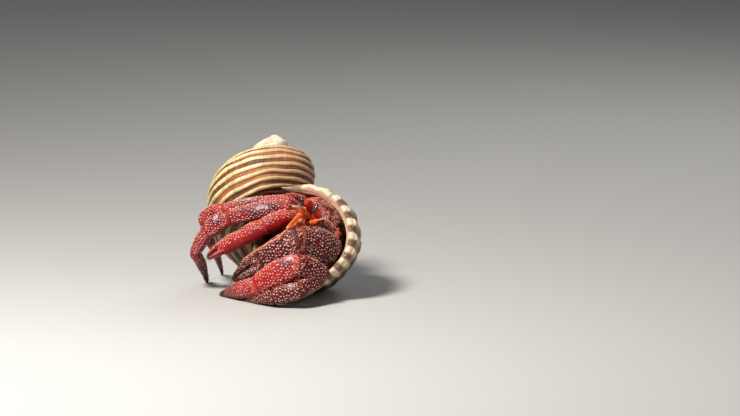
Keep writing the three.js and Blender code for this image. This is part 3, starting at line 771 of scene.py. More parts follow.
def build_shell(finish):
    """One surface: the wall from the apex to the lip, the lip's face, and the bowl behind it."""
    turn, angle = np.meshgrid(WALL_TURNS, WALL_ANGLES, indexing="ij")
    fade = smooth((WORN_TURN - turn) / WORN_OVER)
    place = whorl(turn, angle, 0)
    stray = CORD_WANDER * lumps(place, WANDER_LENGTH, 5) * smooth(turn / WANDER_TURN)
    crest = cord_crest(angle + stray)
    wall = wall_points(turn, angle, crest, fade)
    face, floor, part, spots = lip_and_bowl(WALL_ANGLES)
    points = np.concatenate([wall, face, floor])
    points[0] = points[0].mean(0)
    points[-1] = points[-1].mean(0)

    def painted(*values):
        """A paint from its values on the wall, the face and the floor."""
        stretches = zip(values, (wall, face, floor))
        return np.concatenate([np.broadcast_to(value, rows.shape[:2]) for value, rows in stretches])

    far_side = np.abs(wrapped(angle))
    margin = smooth(1 - turn / MARGIN_TURN) * (1 - smooth((far_side - MARGIN_TO) / MARGIN_OUT))
    shown = 1 - smooth((np.abs(wrapped(WALL_ANGLES)) - LIP_END) / SHOWN_OUT)
    seam = SEAM_CREST * smooth((angle - SEAM_FROM) / SEAM_OVER)
    ragged = BARE_RAGGED * lumps(place, BARE_LENGTH, 6)
    section = WALL_ANGLES / 360
    surface = tube(
        points,
        turn=painted(turn, LIP_TURN * part, 0),
        section=painted(section, section, section),
        crest=painted(np.maximum(lerp(WORN_CREST, crest, fade), seam), 1, 1),
        bare=painted(smooth((turn - BARE_TURN) / BARE_OVER + ragged), 0, 0),
        lip=painted(margin, shown, 1),
        stain=painted(margin * (1 - crest) * smooth((STAIN_TO - angle) / STAIN_OUT), spots, 0),
        # the bowl paint is painted shade: full in the bowl, and part of it on the lip's inner edge
        bowl=painted(0, LIP_EDGE_SHADE * smooth((part - BOWL_FROM) / (1 - BOWL_FROM)), 1),
    )
    piece("shell_wall", [surface], finish, "shell", "shell")


# ---------------------------------------------------------------- limbs

# Each part of a limb: length, azimuth, elevation, half-heights at start, middle and end,
# half-width over half-height, and how far the middle bows up.
LIMBS = {
    "cheliped_left": ([16.7, -3.7, 20.2], {
        "ischium": [7.9, -68, -7, 3.6, 4.0, 3.8, 0.9, 0],
        "merus": [5.4, -94, -6, 4.4, 5.0, 4.8, 0.9, 0],
        "carpus": [15.0, -147, 16, 5.6, 7.4, 6.2, 0.86, 0.4],
        "palm": [15.6, 162, -31, 5.6, 5.3, 4.4, 0.8, 0.3],
        "fingers": [15.4, 144, -32, 4.4, 3.7, 1.1, 0.8, 0.6],
    }),
    "cheliped_right": ([8.2, -8.5, 27.1], {
        "ischium": [7.8, -127, 30, 2.4, 2.6, 2.6, 0.9, 0],
        "merus": [9.8, -175, -24, 2.8, 3.4, 3.2, 0.8, 0.2],
        "carpus": [9.3, 171, -28, 3.0, 3.5, 3.1, 0.8, 0.2],
        "palm": [8.1, 161, -29, 2.9, 3.1, 2.8, 0.8, 0.2],
        "fingers": [8.2, 151, -34, 2.7, 2.3, 0.9, 0.8, 0.3],
    }),
    "leg2_right": ([8.2, -5.5, 27.3], {
        "ischium": [10.2, -127, 44, 2.2, 2.4, 2.4, 0.9, 0],
        "merus": [23.1, 175, -13, 2.5, 3.2, 2.9, 0.75, 0.6],
        "carpus": [10.2, 143, -33, 3.0, 3.7, 3.0, 0.75, 0.3],
        "propodus": [12.6, 128, -50, 2.9, 2.8, 2.3, 0.8, 0.4],
        "dactyl": [22.4, 76, -39, 2.3, 2.1, 0.8, 0.85, 1.4],
    }),
    "leg3_right": ([9.3, -1.9, 30.4], {
        "ischium": [11.3, -124, 29, 2.1, 2.3, 2.3, 0.9, 0],
        "merus": [24.7, 172, -10, 2.4, 2.8, 2.6, 0.7, 0.6],
        "carpus": [10.8, 132, -22, 2.7, 3.2, 2.7, 0.75, 0.3],
        "propodus": [19.4, 82, -38, 2.6, 2.5, 2.1, 0.8, 0.4],
        "dactyl": [25.2, 78, -40, 2.0, 1.6, 0.5, 0.85, 1.2],
    }),
    "leg2_left": ([15.9, -9.2, 17.5], {
        "ischium": [5.0, -91, -20, 2.8, 3.0, 3.0, 0.9, 0],
        "merus": [11.9, -91, -24, 3.2, 3.8, 3.6, 0.85, 0.2],
        "carpus": [10.4, -145, 29, 3.6, 4.5, 4.0, 0.85, 0.3],
        "propodus": [19.1, 157, -30, 4.1, 5.0, 4.0, 0.75, 0.4],
        "dactyl": [22.2, 131, -16, 3.8, 3.2, 0.9, 0.85, 0.2],
    }),
    "leg3_left": ([17.4, -9.5, 16.0], {
        "ischium": [5.0, -98, -20, 2.6, 2.8, 2.8, 0.9, 0],
        "merus": [11.9, -98, -24, 2.9, 3.4, 3.1, 0.85, 0.2],
        "carpus": [10.6, -131, -16, 3.1, 3.5, 3.2, 0.85, 0.2],
        "propodus": [10.4, 165, -16, 3.1, 3.4, 2.9, 0.8, 0.2],
        "dactyl": [18.4, 130, -12, 2.6, 2.1, 0.7, 0.85, 0.3],
    }),
}
FINGER_OVERLAP = 1.5            # how far the fingers start inside the palm
TUCK_IN = 0.38                  # how far a plate starts inside the one before, over its half-height

# How much painted shade each limb has, from 0 to 1, and how far apart and how wide its beads are.
LIMB_LOOKS = {
    "cheliped_left": (0.8, 1.35, 0.3),
    "cheliped_right": (0.3, 1.1, 0.27),
    "leg2_right": (0.5, 1.15, 0.29),
    "leg3_right": (0.42, 1.15, 0.28),
    "leg2_left": (0.9, 1.3, 0.31),
    "leg3_left": (1.0, 1.3, 0.28),
}
PART_SHADE = {"leg2_left_propodus": 0.12, "leg2_left_dactyl": 0.15}    # parts whose painted shade is unlike their limb's
DACTYL_SHADE = 0.75             # how much the painted shade on a leg's last part deepens towards its tip
# Painted sky reflections, purple with a painted highlight: how far along the part, and the turn they
# face.
SKY_REFLECTIONS = {
    "leg2_right_merus": (0.42, 160), "leg2_right_carpus": (0.3, 145), "leg3_right_merus": (0.6, 110),
    "leg2_left_propodus": (0.12, 130), "leg3_left_propodus": (0.3, 120),
}
REFLECTION_LENGTH, REFLECTION_SPREAD = 0.25, 46.0
SMOOTH_FACE = {"cheliped_right": (178, 300)}    # turns with no beads
SMOOTH_EDGE = 12.0              # degrees in which its colour sets in
UNDERSIDE, UNDERSIDE_BEADS = (220, 320), 0.25    # turns where beads are few, and the share kept
EDGES = (95.0, 118.0, 212.0, 232.0)    # turns with a dense row of small beads
HOLD_ENDS = (0.1, 0.05)         # how a plate rounds off at its ends where others give way to it
THINNEST = 0.01
CUT_SHARES = np.linspace(0.96, 0.04, 24)    # the girths that are tried, in turn, to give way


class Segment:
    """A plate: a tapering oval tube from start to end. "half" is 1 or -1 for the upper or the
    lower of two fingers that fill it, and "others" are the plates that it gives way to. Places on it
    are given by u, from 0 to 1 along it, and a turn in degrees round it."""

    def __init__(self, start, end, first, middle, last, flatness, bow, half=0, others=()):
        self.along = unit(end - start)
        self.side = unit(np.cross(self.along, UP))
        self.up = np.cross(self.side, self.along)
        self.length = np.linalg.norm(end - start) - GAP
        self.start = start + self.along * GAP / 2
        self.girths = first, middle, last
        self.flatness, self.bow, self.half, self.others = flatness, bow, half, others

    def tucked(self, depth):
        """The same plate with its start drawn back into the plate before it."""
        self.start = self.start - depth * self.along
        self.length += depth
        return self

    def girth(self, u):
        """Half its height at u, tapering straight from its start to its middle and on to its end."""
        first, middle, last = self.girths
        return np.where(u > 0.5, lerp(middle, last, 2 * u - 1), lerp(first, middle, 2 * u))

    def lift(self, u, full):
        """How far its middle is above a straight line: a bow, and half a finger's own height."""
        return self.bow * 4 * u * (1 - u) + self.half * full / 2

    def point(self, u, turn, cap=1.0):
        """Along by u and round by the turn: an oval of the girth there, on a bowed line."""
        full = self.girth(u) * cap
        height = full if self.half == 0 else full / 2 - GAP / 4
        lift = self.lift(u, full)
        wide = self.flatness * full * np.cos(turn * DEG)
        tall = height * np.sin(turn * DEG) + lift
        line = self.start + (u * self.length)[..., None] * self.along
        return line + wide[..., None] * self.side + tall[..., None] * self.up

    def frame(self, u, turn):
        """Places on the plate, the way out of it at each, and the way forward, from small steps."""
        points = self.point(u, turn)
        ahead = unit(self.point(u + 0.01, turn) - points)
        normals = unit(np.cross(ahead, self.point(u, turn + 2) - points))
        outward = points - self.point(u, turn, cap=0.0)
        return points, normals * np.sign(dot(normals, outward)), ahead

    def holds(self, points):
        """Whether places lie inside it."""
        offset = points - self.start
        u = offset @ self.along / self.length
        full = np.maximum(self.girth(u) * round_ends(np.clip(u, 0, 1), *HOLD_ENDS), THINNEST)
        height = full if self.half == 0 else full / 2
        wide = offset @ self.side / (self.flatness * full)
        tall = (offset @ self.up - self.lift(u, full)) / height
        return (np.hypot(wide, tall) < 1) & (u > 0) & (u < 1)

    def free(self, points):
        """Whether places lie outside all the plates that it gives way to."""
        held = np.zeros(points.shape[:-1], bool)
        for other in self.others:
            held |= other.holds(points)
        return ~held

    def cut_back(self, u, turn, cap):
        """The share of the girth that is left where the others' plates press into it."""
        share = np.ones(u.shape)
        for smaller in CUT_SHARES:
            share = np.where(self.free(self.point(u, turn, cap * share)), share, smaller)
        return share

    def around(self):
        """The length round its middle."""
        share = 1 if self.half == 0 else 0.5
        return np.pi * self.girth(0.5) * (self.flatness + share)


PLATE_ROWS = np.array([
    # along, share of the girth
    [0.0, 0.0], [0.0, 0.4], [0.006, 0.64], [0.018, 0.8], [0.04, 0.91], [0.07, 0.97], [0.11, 1.0],
    *[[u, 1.0] for u in np.linspace(0.16, 0.86, 26)],
    [0.89, 1.01], [0.92, 1.025], [0.95, 1.025], [0.975, 0.985], [0.992, 0.9], [1.0, 0.78],
    [0.992, 0.66], [0.975, 0.5], [0.965, 0.25], [0.962, 0.0],
])
NOSE = np.linspace(0, np.pi / 2, 7)
FINGER_ROWS = np.array([
    *zip(0.2 * (1 - np.cos(NOSE)), np.sin(NOSE)),
    *[[u, 1.0] for u in np.linspace(0.24, 0.86, 22)],
    [0.9, 0.98], [0.94, 0.9], [0.97, 0.76], [0.99, 0.5], [0.998, 0.25], [1.0, 0.0],
])
PLATE_SIDES = 60
PLATE_LUMPS = ((0.035, 5.5, 11), (0.016, 1.9, 12))    # height over the girth, length and seed of each
FLESH = 0.4                     # how orange a plate is by its joints and along its upper edge
FLESH_START, FLESH_END = 0.07, 0.03
FLESH_TURN, FLESH_SPREAD = 95.0, 26.0
FLESH_HIDDEN = 0.75             # how much of it a plate's painted shade hides
DACTYL_SHADE_FROM = 0.1                # the painted shade of a leg's last part deepens from here to its tip
HORN_FROM, HORN_OVER = 0.8, 0.16    # the fingers' and last parts' tips are brown


def plate_surface(name, segment, rows, gloom):
    """The plate's skin: its oval rings, slightly uneven, with its paints. It gives way where
    another plate presses into it."""
    u, turn = np.meshgrid(rows[:, 0], np.arange(PLATE_SIDES) * 360 / PLATE_SIDES, indexing="ij")
    cap = np.broadcast_to(rows[:, 1][:, None], u.shape)
    place = segment.point(u, turn)
    uneven = sum(height * lumps(place, length, seed) for height, length, seed in PLATE_LUMPS)
    # painted shade on the plate, deepening towards a dactyl's tip
    tipped = smooth((u - DACTYL_SHADE_FROM) / (1 - DACTYL_SHADE_FROM)) if "dactyl" in name else 0
    gloom = np.clip(gloom + DACTYL_SHADE * tipped, 0, 1)
    by_joints = np.maximum(bell(u / FLESH_START), bell((1 - u) / FLESH_END))
    flesh = FLESH * (by_joints + bell((turn - FLESH_TURN) / FLESH_SPREAD))
    flesh = np.clip(flesh * (1 - FLESH_HIDDEN * gloom), 0, 1)
    paints = {"gloom": gloom, "flesh": flesh}
    if rows is FINGER_ROWS:
        paints["flesh"] = flesh * (u < 0.5)
        paints["horn"] = smooth((u - HORN_FROM) / HORN_OVER)
    limb = name.rsplit("_", 1)[0]
    if limb in SMOOTH_FACE:
        low, top = SMOOTH_FACE[limb]
        paints["plain"] = within(turn, low, SMOOTH_EDGE, top - SMOOTH_EDGE, SMOOTH_EDGE)
    if name in SKY_REFLECTIONS:
        far, facing = SKY_REFLECTIONS[name]
        paints["bruise"] = bell((u - far) / REFLECTION_LENGTH) * bell((turn - facing) / REFLECTION_SPREAD)
    cap = cap * (1 + uneven * (cap > 0.5))
    return tube(segment.point(u, turn, cap * segment.cut_back(u, turn, cap)), **paints)


BEAD_SIZES = (0.7, 1.25)        # over the radius asked for
BEAD_TAPER = (0.45, 1.1)        # beads shrink with the girth, but only between these


def bead_surface(segment, u, turn, radius):
    """Beads on a plate, except where another presses into it."""
    kept = segment.free(segment.point(u, turn))
    u, turn = u[kept], turn[kept]
    points, normals, ahead = segment.frame(u, turn)
    taper = np.clip(segment.girth(u) / segment.girth(0.5), *BEAD_TAPER)
    radii = radius * rng.uniform(*BEAD_SIZES, len(u)) * taper
    roots = np.stack([turn % 360 / 360, u], -1)
    footprints = np.stack([radii / segment.around(), radii / segment.length], -1)
    return beads(points, normals, ahead, radii, roots, footprints)


def beaded(limb, turn):
    """Whether a limb has beads at a turn."""
    low, top = SMOOTH_FACE.get(limb, (360, 360))
    return (turn < low) | (turn > top)


FIELD_FROM, FIELD_TO, FINGER_FIELD_TO = 0.06, 0.93, 0.8    # the stretch of a plate that has beads
ROW_STEP = 0.87                 # from row to row, over the spacing within a row
STRAY_ALONG, STRAY_ROUND = 0.2, 0.22    # how far beads stray, over the spacing
KEPT_TAPER, KEPT_SHARES = 1.2, (0.15, 0.97)    # a thinner part keeps fewer of its beads
EDGE_FROM, EDGE_STRAY, EDGE_TURN_STRAY = 0.08, 0.25, 7.0


def bead_field(limb, segment, spacing, radius, stop=FIELD_TO):
    """Beads in staggered rows round a plate, each a little out of line, few on its underside."""
    along = np.arange(FIELD_FROM * segment.length, stop * segment.length, spacing * ROW_STEP)
    around = max(int(segment.around() / spacing), 4)
    row, column = np.meshgrid(np.arange(len(along)), np.arange(around), indexing="ij")
    u = (along[row] + strays(row.shape, STRAY_ALONG) * spacing) / segment.length
    turn = (column + 0.5 * (row % 2) + strays(row.shape, STRAY_ROUND)) * 360 / around
    u, turn = u.ravel(), turn.ravel() % 360
    taper = segment.girth(u) / segment.girth(0.5)
    keep = rng.random(len(u)) < np.clip(taper * KEPT_TAPER, *KEPT_SHARES)
    low, top = UNDERSIDE
    keep &= (turn < low) | (turn > top) | (rng.random(len(u)) < UNDERSIDE_BEADS)
    keep &= beaded(limb, turn)
    return bead_surface(segment, u[keep], turn[keep], radius)


def edge_rows(limb, segment, spacing, radius):
    """Dense rows of small beads along the edges of a plate."""
    along = np.arange(EDGE_FROM * segment.length, FIELD_TO * segment.length, spacing)
    u, turn = np.meshgrid(along / segment.length, EDGES, indexing="ij")
    u = u + strays(u.shape, EDGE_STRAY) * spacing / segment.length
    turn = turn + strays(u.shape, EDGE_TURN_STRAY)
    keep = beaded(limb, turn)
    return bead_surface(segment, u[keep], turn[keep], radius)


def bristle_surface(segment, count, length, radius, start, stop):
    """Short stiff bristles scattered over a plate."""
    u = rng.uniform(start, stop, count)
    turn = rng.uniform(0, 360, count)
    points, normals, ahead = segment.frame(u, turn)
    roots = np.stack([turn / 360, u], -1)
    lengths = length * rng.uniform(*BRISTLE_SIZES, count)
    return bristles(points, normals, ahead, lengths, radius, roots)


# A joint is a short folded rod, sized by the narrower of the two plates' ends.
JOINT_RINGS, JOINT_SIDES = 14, 36
JOINT_BACK, JOINT_AHEAD = 0.5, 0.75    # how far it reaches into each plate
JOINT_RADIUS = 0.93
FOLD, FOLD_WAVES = 0.05, 40.0
JOINT_FLESH = 0.35
JOINT_TURN, JOINT_OVER = 0.3, 0.4    # where the painted shade of one plate turns into the other's
JOINT_BEADS = 0.7               # beads on it, over the square of its width over theirs
JOINT_BEAD_BAND = 0.75          # they lie within this share of a ball's radius of its middle
JOINT_BEAD_BALL = 0.9           # the ball's radius
JOINT_BEAD_SIZES = (0.6, 1.0)
JOINT_MAP = 6.0                 # the length round it, for the beads' places on the map


def joint_surfaces(segment, onward, painted_shades, bead):
    """The rounded joint between a plate and the next one, with the painted shade of each at its end,
    and beads spread over a ball in its middle."""
    end = segment.start + segment.along * (segment.length + GAP / 2)
    reach = min(segment.girths[2], onward.girths[0])
    knots = [end - JOINT_BACK * reach * segment.along, end, end + JOINT_AHEAD * reach * onward.along]
    share = np.linspace(0, 1, JOINT_RINGS)
    folds = 1 + FOLD * np.cos(share * FOLD_WAVES)
    radii = JOINT_RADIUS * reach * round_ends(share, 0.5, 0.5) * folds
    gloom = lerp(*painted_shades, smooth((share - JOINT_TURN) / JOINT_OVER))[:, None]
    rings = rod_points(knots, radii, JOINT_SIDES, segment.flatness)
    skin = tube(rings, flesh=JOINT_FLESH * (1 - gloom), gloom=gloom)

    count = int(JOINT_BEADS * (reach / bead) ** 2)
    around = rng.uniform(0, 2 * np.pi, count)
    share = strays(count, JOINT_BEAD_BAND)
    flat = np.sqrt(1 - share ** 2)
    ahead = unit(segment.along + onward.along)
    side = unit(np.cross(ahead, UP))
    above = np.cross(side, ahead)
    ring = np.cos(around)[:, None] * side + np.sin(around)[:, None] * above
    normals = share[:, None] * ahead + flat[:, None] * ring
    ball = normals - (1 - segment.flatness) * dot(normals, side) * side
    points = end + JOINT_BEAD_BALL * reach * ball
    radii = bead * rng.uniform(*JOINT_BEAD_SIZES, count)
    roots = np.stack([around / (2 * np.pi), share / 2 + 0.5], -1)
    footprints = np.stack([radii, radii], -1) / (JOINT_MAP * reach)
    lying = unit(ahead - normals * dot(normals, ahead))
    kept = segment.free(points)
    bumps = (values[kept] for values in (points, normals, lying, radii, roots, footprints))
    return [skin, beads(*bumps)]


def limb_segments(root, parts, others):
    """Every plate of a limb in order, with the two fingers in place of a claw's last part."""
    start = np.array(root)
    segments = {}
    for part, (length, azimuth, elevation, *shape) in parts.items():
        ahead = direction(azimuth, elevation)
        end = start + length * ahead
        if part == "fingers":
            knuckle = start - FINGER_OVERLAP * ahead
            segments["lower"] = Segment(knuckle, end, *shape, half=-1, others=others)
            segments["upper"] = Segment(knuckle, end, *shape, half=1, others=others)
        else:
            tuck = 0 if part == "ischium" else TUCK_IN * shape[0]
            segments[part] = Segment(start, end, *shape, others=others).tucked(tuck)
        start = end
    return segments


LAST_PARTS = ("upper", "lower", "dactyl")
SMALLER = 0.75                  # beads on a limb's last part, over those on the rest
EDGE_SPACING, EDGE_RADIUS = 0.62, 0.72    # the edges' beads over the others
LIMB_BRISTLES = (90, 1.1, 0.045, 0.25, 0.96)    # number, length, radius, and where they start and stop


def plate_surfaces(name, segment, gloom, limb, part):
    """A plate with its beads. A limb's last part has bristles, and the rest have beaded edges."""
    spacing, radius = LIMB_LOOKS[limb][1:]
    if part in LAST_PARTS:
        return [
            plate_surface(name, segment, FINGER_ROWS, gloom),
            bead_field(limb, segment, spacing * SMALLER, radius * SMALLER, FINGER_FIELD_TO),
            bristle_surface(segment, *LIMB_BRISTLES),
        ]
    return [
        plate_surface(name, segment, PLATE_ROWS, gloom),
        bead_field(limb, segment, spacing, radius),
        edge_rows(limb, segment, spacing * EDGE_SPACING, radius * EDGE_RADIUS),
    ]


def build_limbs(leg_finish, claw_finish):
    """Each limb in turn, which gives way to the limbs before it where they press together."""
    before = []
    for limb, (root, parts) in LIMBS.items():
        segments = limb_segments(root, parts, tuple(before))
        before += segments.values()
        painted_shades = {part: PART_SHADE.get(f"{limb}_{part}", LIMB_LOOKS[limb][0]) for part in segments}
        order = list(segments)
        made = {}
        for k, (part, segment) in enumerate(segments.items()):
            made[part] = plate_surfaces(f"{limb}_{part}", segment, painted_shades[part], limb, part)
            if part not in LAST_PARTS:
                following = order[k + 1]
                ends = painted_shades[part], painted_shades[following]
                made[part] += joint_surfaces(segment, segments[following], ends, LIMB_LOOKS[limb][2])
        if "lower" in made:
            made["palm"] += made.pop("lower")
        finish, slot = (claw_finish, "claw") if limb == "cheliped_left" else (leg_finish, "leg")
        for part, surfaces in made.items():
            node = {"palm": "propodus", "upper": "dactyl"}.get(part, part)
            piece(f"{limb}_{node}_plate", surfaces, finish, slot, f"{limb}_{node}")


# ---------------------------------------------------------------- body and head

ANTERIOR = direction(-112, 4)
LEFTWARD = direction(-22, -23.5)
DORSAL = unit(np.cross(ANTERIOR, LEFTWARD))
BODY_AXES = np.stack([ANTERIOR, LEFTWARD, DORSAL])
BODY_CENTRE = np.array([13.8, -2.1, 24.1])
BODY_RADII = np.array([13.0, 11.5, 12.0])    # forward, leftward and upward
BODY_ROWS, BODY_SIDES = 60, 90
SHIELD_HEIGHT = 1.5             # the hard shield is the body above this level
SHIELD_DEPTH, SKIN_DEPTH = 0.1, 0.35    # shield and soft skin lie this far inside the solid
SHIELD_LUMP, SHIELD_LUMP_LENGTH, SHIELD_IN = 0.02, 6.0, 0.01
# The shield has painted shade that deepens from its right side to its left, and is orange on a patch at
# its front right.
SHIELD_SHADE, SHADE_SIDE, SHADE_OVER = 0.9, -0.6, 0.8
WARM, WARM_SIDE, WARM_SPREAD, WARM_FRONT = 0.35, -0.4, 0.2, 0.5
SHIELD_BEADS, SHIELD_BEAD, SHIELD_BEAD_SIZES = 5400, 0.23, (0.6, 1.3)
BEAD_DEPTH = 0.25               # their roots lie this far inside the solid
BEADS_ABOVE, BEADS_AHEAD, BEADS_KEPT = 0.4, -0.2, 0.85    # over the shield's level, and forward
SHIELD_MAP, MAP_HALF = 30.0, 0.48    # the length over the map's square, and half the part used
NUDGE = 1e-4                    # gives the foremost bead a way forward too
SKIN_FOLD, FOLD_RADIANS, FOLDS_BELOW = 0.12, 3.2, 0.5    # height, radians to a millimetre, and level

# Base, middle and tip of each eye's stout stalk, how far the eye leans to the left of upright, and
# how much painted shade the stalk has above.
EYES = {
    "right": ([13.2, -12.8, 33.2], [11.7, -16.0, 36.0], [9.3, -18.8, 37.0], 4, 0.65),
    "left": ([14.3, -13.6, 30.2], [14.9, -16.6, 32.5], [14.3, -19.2, 34.9], 42, 0.85),
}
STALK_RADII = (1.9, 1.3)
STALK_ROWS, STALK_SIDES, STALK_ENDS = 36, 28, (0.08, 0.22)
STALK_SHORT = 0.4               # the stalk ends this far short of the middle of the eye
STALK_SHADE_ABOVE, STALK_SHADE_FROM, STALK_SHADE_OVER = 0.1, 0.15, 0.3    # painted shade lies on it above and past its root
CORNEA_RADII = (2.0, 0.7, 1.1)  # half its height, width and depth
CORNEA_ROWS, CORNEA_SIDES = 34, 36
# The pointed scale under each stalk.
SCALE_LENGTH, SCALE_RADIUS, SCALE_POINT, SCALE_FLATNESS = 3.2, 0.7, 0.7, 1.3
SCALE_ALONG, SCALE_UNDER = 0.35, 0.9    # where its root is along the stalk, and below its middle
SCALE_ROWS, SCALE_SIDES, SCALE_ENDS, SCALE_PALE = 12, 14, (0.15, 0.02), 0.25

# Feelers: points along each, radius at root and tip, and how many joints it shows.
FEELERS = {
    "antennule_right": ([[10.6, -14.7, 32.4], [8.9, -20.3, 35.4], [5.9, -24.2, 36.5]], 0.7, 0.4, 3),
    "antennule_left": ([[12.2, -15.4, 31.6], [9.2, -20.6, 33.9], [5.4, -24.3, 34.7]], 0.7, 0.4, 3),
    "antenna_right": ([[11.1, -13.9, 30.6], [8.5, -18.8, 32.0], [3.9, -25.1, 28.2]], 1.2, 0.6, 4),
    "antenna_left": ([[12.6, -14.4, 28.7], [13.3, -19.2, 29.7], [15.2, -21.6, 30.7]], 1.1, 0.8, 3),
    "antenna_whip_right": (
        [[3.7, -25.7, 27.9], [0.7, -26.7, 25.1], [-3.3, -26.5, 23.0], [-8.5, -23.1, 19.2],
         [-12.6, -20.7, 15.6]], 0.36, 0.2, 60),
    "antenna_whip_left": (
        [[15.4, -22.1, 31.0], [17.8, -22.0, 31.5], [20.4, -21.3, 29.7], [23.0, -19.9, 26.1]],
        0.3, 0.16, 30),
}
FEELER_ROWS = 8                 # rows from one joint to the next
FEELER_SIDES, WHIP_SIDES = 22, 10
FEELER_WAIST, WHIP_WAIST, WAIST_POWER = 0.2, 0.12, 6    # how far it narrows at its joints
FEELER_ENDS = (0.03, 0.04)
WHIP_PALE = 0.4                 # how pale the bands at a whip's joints are
PALE_TIP, PALE_FROM, PALE_OVER = 0.6, 0.35, 0.3    # the right antennule is pale towards its tip

# The two palps of the mouthparts, side by side: joints along each, and its radii.
PALP_KNOTS = np.array([
    [10.7, -11.5, 27.6], [9.0, -15.6, 28.3], [7.4, -19.4, 28.2], [6.4, -21.4, 26.6], [5.9, -22.2, 24.9]])
PALP_RADII = (1.45, 1.35, 1.1, 0.8)
PALP_MIDDLE, PALP_END = 1.08, 0.85    # a part's girth in its middle and at its end, over its start's
PALP_FLATNESS, PALP_ROUND = 0.8, 0.25
PALP_APART, PALP_CLOSING = 1.15, np.array([1, 1, 0.9, 0.7, 0.5])    # they close up towards their tips
PALP_ROWS, PALP_SIDES = 16, 24
PALP_PALE, PALP_PALE_OVER = 0.14, 0.3
PALP_BRISTLES = (60, 1.3, 0.05, 0.1, 0.95)    # as the limbs' bristles
HIND_LEG_RADII = (1.4, 0.9)
HIND_LEG_SHADE = 0.1
HIND_LEG_BEADS = (0.8, 0.2)     # how far apart and how wide
HIND_LEG_BRISTLES = (60, 0.9, 0.04, 0.1, 0.95)
HIND_LEGS = {
    "leg4_right": [[10.0, -1.0, 35.0], [6.3, -4.7, 37.0], [3.3, -7.7, 37.4]],
    "leg4_left": [[19.6, -4.5, 27.2], [22.6, -10.0, 24.4], [21.1, -14.8, 20.7]],
}


def body_points(count, radii):
    """Places spread evenly over the body by the golden angle, the way out at each, the way forward
    over it, and the same places on a ball."""
    k = np.arange(count) + 0.5
    high = 1 - 2 * k / count
    turn = k * np.pi * (3 - np.sqrt(5))
    flat = np.sqrt(1 - high ** 2)
    ball = np.stack([flat * np.cos(turn), flat * np.sin(turn), high], -1)
    ball = unit(ball + strays(ball.shape, 1.0) / np.sqrt(count))
    points = BODY_CENTRE + (ball * radii) @ BODY_AXES
    normals = unit((ball / radii) @ BODY_AXES)
    ahead = unit(ANTERIOR - normals * dot(normals, ANTERIOR) + NUDGE * DORSAL)
    return points, normals, ahead, ball


def build_shield(finish):
    """The hard shield: the body's ellipsoid above a level, slightly uneven and close-set with beads."""
    place = ball_points(0, BODY_AXES, BODY_RADII - SHIELD_DEPTH, BODY_ROWS, BODY_SIDES)
    sunk = np.maximum(SHIELD_HEIGHT - dot(place, DORSAL), 0)
    inwards = 1 - (SHIELD_LUMP * lumps(place, SHIELD_LUMP_LENGTH, 21) + SHIELD_IN)[..., None]
    shield = BODY_CENTRE + (place + sunk * DORSAL) * inwards
    side = (place @ LEFTWARD) / BODY_RADII[1]
    front = (place @ ANTERIOR) / BODY_RADII[0]
    gloom = SHIELD_SHADE * smooth((side - SHADE_SIDE) / SHADE_OVER)
    warm = WARM * bell((side - WARM_SIDE) / WARM_SPREAD) * smooth(front / WARM_FRONT)

    points, normals, ahead, ball = body_points(SHIELD_BEADS, BODY_RADII - BEAD_DEPTH)
    keep = (ball[:, 2] * BODY_RADII[2] > SHIELD_HEIGHT + BEADS_ABOVE) & (ball[:, 0] > BEADS_AHEAD)
    keep &= rng.random(len(ball)) < BEADS_KEPT
    points, normals, ahead, ball = points[keep], normals[keep], ahead[keep], ball[keep]
    radii = SHIELD_BEAD * rng.uniform(*SHIELD_BEAD_SIZES, len(points))
    roots = 0.5 + MAP_HALF * ball[:, 1:]
    footprints = np.stack([radii, radii], -1) / SHIELD_MAP
    surfaces = [
        tube(shield, gloom=gloom, flesh=warm),
        beads(points, normals, ahead, radii, roots, footprints),
    ]
    piece("carapace", surfaces, finish, "shield", "shield")


def build_soft_body(finish):
    """The folded skin of the body: its ellipsoid cut off level under the shield, with waves on it."""
    skin = ball_points(BODY_CENTRE, BODY_AXES, BODY_RADII - SKIN_DEPTH, BODY_ROWS, BODY_SIDES)
    height = dot(skin - BODY_CENTRE, DORSAL)
    skin = skin - np.maximum(height - SHIELD_HEIGHT + GAP, 0) * DORSAL
    wave = np.sin(dot(skin, ANTERIOR) * FOLD_RADIANS)
    skin = skin - SKIN_FOLD * wave * (height < SHIELD_HEIGHT - FOLDS_BELOW) * DORSAL
    piece("soft_body", [tube(skin)], finish, "soft_body", "thorax")


def jointed_rod(knots, first, last, joints, sides, waist):
    """A tapering rod that narrows at each of its joints, and its share along at each row."""
    share = np.linspace(0, 1, joints * FEELER_ROWS + 1)
    narrowed = 1 - waist * np.abs(np.cos(np.pi * joints * share)) ** WAIST_POWER
    radii = lerp(first, last, share) * narrowed * round_ends(share, *FEELER_ENDS)
    return rod_points(knots, radii, sides), share[:, None]


def stalk_surface(base, middle, tip, shade_strength):
    """A stout round rod from the head to the middle of the eye, with painted shade above."""
    share = np.linspace(0, 1, STALK_ROWS)
    radii = lerp(*STALK_RADII, share) * round_ends(share, *STALK_ENDS)
    knots = [base, middle, tip - STALK_SHORT * unit(tip - middle)]
    above = smooth(np.sin(ring_angles(STALK_SIDES)) - STALK_SHADE_ABOVE)[None]
    stalk_shade = shade_strength * above * smooth((share - STALK_SHADE_FROM) / STALK_SHADE_OVER)[:, None]
    return tube(rod_points(knots, radii, STALK_SIDES), gloom=stalk_shade)


def scale_surface(base, middle):
    """A flat rod that narrows to a point, along the underside of the stalk."""
    root = lerp(base, middle, SCALE_ALONG) - STALK_RADII[0] * SCALE_UNDER * DORSAL
    ahead = unit(middle - base)
    share = np.linspace(0, 1, SCALE_ROWS)
    radii = SCALE_RADIUS * (1 - share) ** SCALE_POINT * round_ends(share, *SCALE_ENDS)
    knots = [root, root + ahead * SCALE_LENGTH / 2, root + ahead * SCALE_LENGTH]
    return tube(rod_points(knots, radii, SCALE_SIDES, SCALE_FLATNESS), rise=SCALE_PALE)


